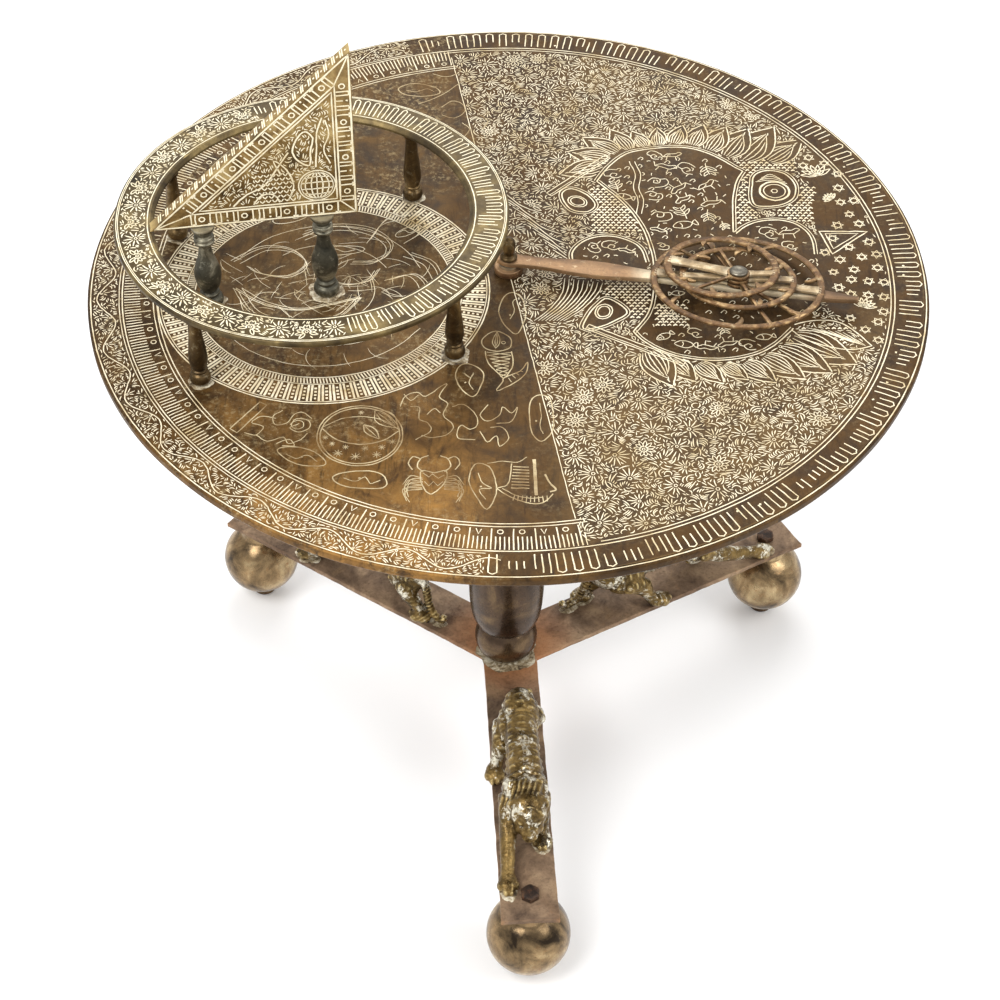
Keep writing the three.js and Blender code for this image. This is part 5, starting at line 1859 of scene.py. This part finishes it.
def engrave_gnomon(materials):
    """The bordered triangle on both faces, and ticks on the sloping edge."""
    origin, along, up, out = gnomon_frame()
    slope = math.atan2(GNOMON_TALL, GNOMON_RIGHT - GNOMON_LEFT)
    face_normal = np.array([math.sin(slope), -math.cos(slope)])
    left, right, tall = GNOMON_LEFT, GNOMON_RIGHT, GNOMON_TALL

    def corner(edge):
        """The corners of a triangle inset by an edge width."""
        low_s = left + (edge + face_normal[1] * -edge) / face_normal[0]
        high_t = (face_normal[0] * (right - edge - left) - edge) / -face_normal[1]
        return [(low_s, edge), (right - edge, edge), (right - edge, high_t)]

    def engrave(s):
        for edge, width in ((1.3, 1.2), (11.4, 1.2), (13.6, 1.0)):
            s.draw(corner(edge), closed=True, width=width, shake=0.05)
        for a, b in zip(corner(1.3), corner(11.6)):
            s.draw([a, b], width=1.0)
        outer_c, inner_c = corner(2.4), corner(10.6)
        for k in range(3):
            a, b = np.array(outer_c[k]), np.array(outer_c[(k + 1) % 3])
            c, d = np.array(inner_c[k]), np.array(inner_c[(k + 1) % 3])
            count = int(np.linalg.norm(d - c) / 5.6)
            for n in range(count):
                t = (n + 0.5) / count
                low = c + (d - c) * t
                side = unit(b - a)
                away = -left_of(side)
                high = low + away * 8.2
                pick = n % 5
                if pick in (0, 3):
                    s.draw([low - side * 1.5, high - side * 1.5, high + side * 1.5, low + side * 1.5],
                           width=0.95)
                elif pick == 1:
                    m = (low + high) / 2
                    s.ring(m[0], m[1], 2.0, step=1.6, width=0.95, shake=0.04)
                elif pick == 2:
                    s.draw([low, high], width=1.0)
                    s.draw([high - side * 1.8, high + side * 1.8], width=1.0)
                else:
                    s.draw([low, low + away * 4.5], width=1.0)
                    s.dot(*(low + away * 7), 0.7)
        gx, gy, gr = -2.0, 26.5, 12.6
        for radius, width in ((gr, 0.9), (gr - 1.6, 0.6)):
            s.ring(gx, gy, radius, step=2.4, width=width, shake=0.04)
        for share in (0.36, 0.74):
            a = np.linspace(0, 2 * math.pi, 22, endpoint=False)
            s.draw(np.column_stack([gx + share * (gr - 1.6) * np.cos(a), gy + (gr - 1.6) * np.sin(a)]),
                   closed=True,
                   width=0.85, shake=0.04)
        s.draw([(gx, gy - gr + 1.6), (gx, gy + gr - 1.6)], width=0.85)
        for h in (-6.5, -2.4, 2.4, 6.5):
            w = math.sqrt((gr - 1.6) ** 2 - h * h)
            s.curve([(gx - w, gy + h), (gx, gy + h * 1.15), (gx + w, gy + h)], width=0.85)
        # a drop-shaped hollow, a plumed swirl and small scales beside the globe
        s.curve([(-6, 44), (-13, 48), (-17, 56), (-14, 66), (-8, 72), (-3, 66), (-5, 56)], closed=True,
                width=1.15)
        s.curve([(-2, 42), (-1, 56), (0, 70), (4, 82)], width=1.0)
        s.curve([(8, 44), (4, 56), (8, 68), (6, 80)], width=1.0)
        s.curve([(-22, 16), (-18, 28), (-22, 42), (-30, 50), (-26, 38)], width=1.0)
        s.curve([(-60, 15), (-50, 24), (-38, 30), (-28, 44), (-20, 56)], width=1.15)
        s.curve([(-46, 15), (-40, 22), (-32, 22), (-28, 15)], width=1.0)
        for row in range(7):
            for col in range(7):
                x = -44 + 4.2 * col + 2.1 * (row % 2)
                y = 16.5 + 3.6 * row
                hyp = face_normal @ (np.array([x, y]) - (left, 0))
                if hyp > 16 and np.hypot(x - gx, y - gy) > gr + 2.4 and x < -17:
                    s.curve([(x - 1.6, y + 1), (x, y - 0.9), (x + 1.6, y + 1)], width=0.85, steps=2)
        fill_with_leaves(s, 9000, (left, 13), (right - 12, tall - 28), 0.85, (2.6, 6.0), 1.3, 1.0)

    def inside_free(x, y):
        hyp = face_normal[0] * (x - left) + face_normal[1] * y
        return (hyp > 15.5) & (y > 15.2) & (x < right - 15.2)

    for name, flip, level in (("front", False, 0.0), ("back", True, -GNOMON_THICK)):
        sign = -1 if flip else 1

        def place(points, rise, level=level, sign=sign):
            p = np.asarray(points)
            return origin + p[:, :1] * along + p[:, 1:2] * up + (level + sign * rise[:, None]) * out

        s = Strokes(place, Ground(140.0, inside_free), 41 + flip, 0.09, flip)
        engrave(s)
        s.finish("cut_gnomon_" + name, materials["chalk_bright"], "root")

    slope_dir = math.cos(slope) * along + math.sin(slope) * up
    slope_up = -math.sin(slope) * along + math.cos(slope) * up
    start = origin + left * along

    def edge_place(points, rise):
        p = np.asarray(points)
        return start + p[:, :1] * slope_dir - p[:, 1:2] * out + rise[:, None] * slope_up

    s = Strokes(edge_place, None, 47, 0.05)
    length = math.hypot(right - left, tall)
    for d in np.arange(9, length - 8, 7.4):
        s.draw([(d, 1.2), (d, 8.8)], width=1.15)
        s.draw([(d + 1.8, 1.2), (d + 1.8, 8.8)], width=1.15)
        s.dot(d + 4.6, 5.0, 0.8)
    s.finish("cut_gnomon_edge", materials["chalk_bright"], "root")


# ---------- add-on ----------

FINISHES = {}


def finishes(context):
    """The finishes, made the first time that a piece needs them."""
    if not FINISHES:
        FINISHES.update(make_materials(context.scene.astro_table))
    return FINISHES


class ASTRO_PG_settings(bpy.types.PropertyGroup):
    leopard_place: FloatProperty(
        name="Leopard place", description="Distance from the base's hub to the middle of each leopard",
        default=LEOPARD_PLACE * MM, unit="LENGTH")
    lens: FloatProperty(
        name="Lens", description="Focal length of the camera", default=CAMERA_LENS, min=1.0, unit="CAMERA")
    filling: FloatVectorProperty(
        name="Filling", description="Colour of the pale filling in the cut lines",
        default=srgb(*FILLING)[:3], size=3, subtype="COLOR", min=0.0, max=1.0)
    patina: FloatVectorProperty(
        name="Patina", description="Colour of the round top's darker ground",
        default=srgb(*PATINA)[:3], size=3, subtype="COLOR", min=0.0, max=1.0)


class ASTRO_OT_stage(bpy.types.Operator):
    """Sets up the camera, the floor and the studio lights"""
    bl_idname = "astro.stage"
    bl_label = "Stage"
    bl_options = {"REGISTER", "UNDO"}

    def execute(self, context):
        build_stage(context.scene.astro_table.lens)
        return {"FINISHED"}


class ASTRO_OT_base_plate(bpy.types.Operator):
    """Builds the three-armed iron base"""
    bl_idname = "astro.base_plate"
    bl_label = "Base plate"
    bl_options = {"REGISTER", "UNDO"}

    def execute(self, context):
        build_base_plate(finishes(context))
        return {"FINISHED"}


class ASTRO_OT_feet(bpy.types.Operator):
    """Builds the balls, their stubs and the bolts"""
    bl_idname = "astro.feet"
    bl_label = "Feet"
    bl_options = {"REGISTER", "UNDO"}

    def execute(self, context):
        build_feet(finishes(context))
        return {"FINISHED"}


class ASTRO_OT_leopards(bpy.types.Operator):
    """Builds the three cast leopards"""
    bl_idname = "astro.leopards"
    bl_label = "Leopards"
    bl_options = {"REGISTER", "UNDO"}

    def execute(self, context):
        build_leopards(finishes(context), context.scene.astro_table.leopard_place / MM)
        return {"FINISHED"}


class ASTRO_OT_column(bpy.types.Operator):
    """Builds the turned column and dresses its hidden rod"""
    bl_idname = "astro.column"
    bl_label = "Column"
    bl_options = {"REGISTER", "UNDO"}

    def execute(self, context):
        build_column(finishes(context))
        return {"FINISHED"}


class ASTRO_OT_table_top(bpy.types.Operator):
    """Builds the round top and its rim"""
    bl_idname = "astro.table_top"
    bl_label = "Round top"
    bl_options = {"REGISTER", "UNDO"}

    def execute(self, context):
        build_table_top(finishes(context))
        return {"FINISHED"}


class ASTRO_OT_dial_ring(bpy.types.Operator):
    """Builds the raised ring"""
    bl_idname = "astro.dial_ring"
    bl_label = "Dial ring"
    bl_options = {"REGISTER", "UNDO"}

    def execute(self, context):
        build_dial_ring(finishes(context))
        return {"FINISHED"}


class ASTRO_OT_ring_columns(bpy.types.Operator):
    """Builds the four small turned columns"""
    bl_idname = "astro.ring_columns"
    bl_label = "Ring columns"
    bl_options = {"REGISTER", "UNDO"}

    def execute(self, context):
        build_ring_columns(finishes(context))
        return {"FINISHED"}


class ASTRO_OT_gnomon(bpy.types.Operator):
    """Builds the triangular plate and its two columns"""
    bl_idname = "astro.gnomon"
    bl_label = "Gnomon"
    bl_options = {"REGISTER", "UNDO"}

    def execute(self, context):
        build_gnomon(finishes(context))
        return {"FINISHED"}


class ASTRO_OT_arm(bpy.types.Operator):
    """Builds the pointer's arm"""
    bl_idname = "astro.arm"
    bl_label = "Arm"
    bl_options = {"REGISTER", "UNDO"}

    def execute(self, context):
        build_arm(finishes(context))
        return {"FINISHED"}


class ASTRO_OT_rete(bpy.types.Operator):
    """Builds the three openwork rings and their rivet"""
    bl_idname = "astro.rete"
    bl_label = "Rings"
    bl_options = {"REGISTER", "UNDO"}

    def execute(self, context):
        build_rete(finishes(context))
        return {"FINISHED"}


class ASTRO_OT_pivot(bpy.types.Operator):
    """Builds the copper spacer and the finial"""
    bl_idname = "astro.pivot"
    bl_label = "Pivot"
    bl_options = {"REGISTER", "UNDO"}

    def execute(self, context):
        build_pivot(finishes(context))
        return {"FINISHED"}


class ASTRO_OT_solder(bpy.types.Operator):
    """Builds the puddles of solder under columns and paws"""
    bl_idname = "astro.solder"
    bl_label = "Solder"
    bl_options = {"REGISTER", "UNDO"}

    def execute(self, context):
        build_solder(finishes(context))
        return {"FINISHED"}


class ASTRO_OT_engrave_top(bpy.types.Operator):
    """Cuts and fills the lines on the round top"""
    bl_idname = "astro.engrave_top"
    bl_label = "Top engraving"
    bl_options = {"REGISTER", "UNDO"}

    def execute(self, context):
        engrave_top(finishes(context))
        return {"FINISHED"}


class ASTRO_OT_engrave_ring(bpy.types.Operator):
    """Cuts and fills the lines on the raised ring"""
    bl_idname = "astro.engrave_ring"
    bl_label = "Ring engraving"
    bl_options = {"REGISTER", "UNDO"}

    def execute(self, context):
        engrave_ring(finishes(context))
        return {"FINISHED"}


class ASTRO_OT_engrave_gnomon(bpy.types.Operator):
    """Cuts and fills the lines on the gnomon"""
    bl_idname = "astro.engrave_gnomon"
    bl_label = "Gnomon engraving"
    bl_options = {"REGISTER", "UNDO"}

    def execute(self, context):
        engrave_gnomon(finishes(context))
        return {"FINISHED"}


OPERATORS = [
    ASTRO_OT_stage,
    ASTRO_OT_base_plate,
    ASTRO_OT_feet,
    ASTRO_OT_leopards,
    ASTRO_OT_column,
    ASTRO_OT_table_top,
    ASTRO_OT_dial_ring,
    ASTRO_OT_ring_columns,
    ASTRO_OT_gnomon,
    ASTRO_OT_arm,
    ASTRO_OT_rete,
    ASTRO_OT_pivot,
    ASTRO_OT_solder,
    ASTRO_OT_engrave_top,
    ASTRO_OT_engrave_ring,
    ASTRO_OT_engrave_gnomon,
]


class ASTRO_PT_panel(bpy.types.Panel):
    """Lists the pieces of the table and its settings"""
    bl_idname = "ASTRO_PT_panel"
    bl_label = "Astronomical Table"
    bl_space_type = "VIEW_3D"
    bl_region_type = "UI"
    bl_category = "Astro Table"

    def draw(self, context):
        for name in ASTRO_PG_settings.__annotations__:
            self.layout.prop(context.scene.astro_table, name)
        for one in OPERATORS:
            self.layout.operator(one.bl_idname)


CLASSES = [ASTRO_PG_settings, *OPERATORS, ASTRO_PT_panel]


def register():
    for one in CLASSES:
        bpy.utils.register_class(one)
    bpy.types.Scene.astro_table = PointerProperty(type=ASTRO_PG_settings)


def unregister():
    del bpy.types.Scene.astro_table
    for one in reversed(CLASSES):
        bpy.utils.unregister_class(one)


def main():
    register()
    for one in OPERATORS:
        getattr(bpy.ops.astro, one.bl_idname.split(".")[1])()


if __name__ == "__main__":
    main()
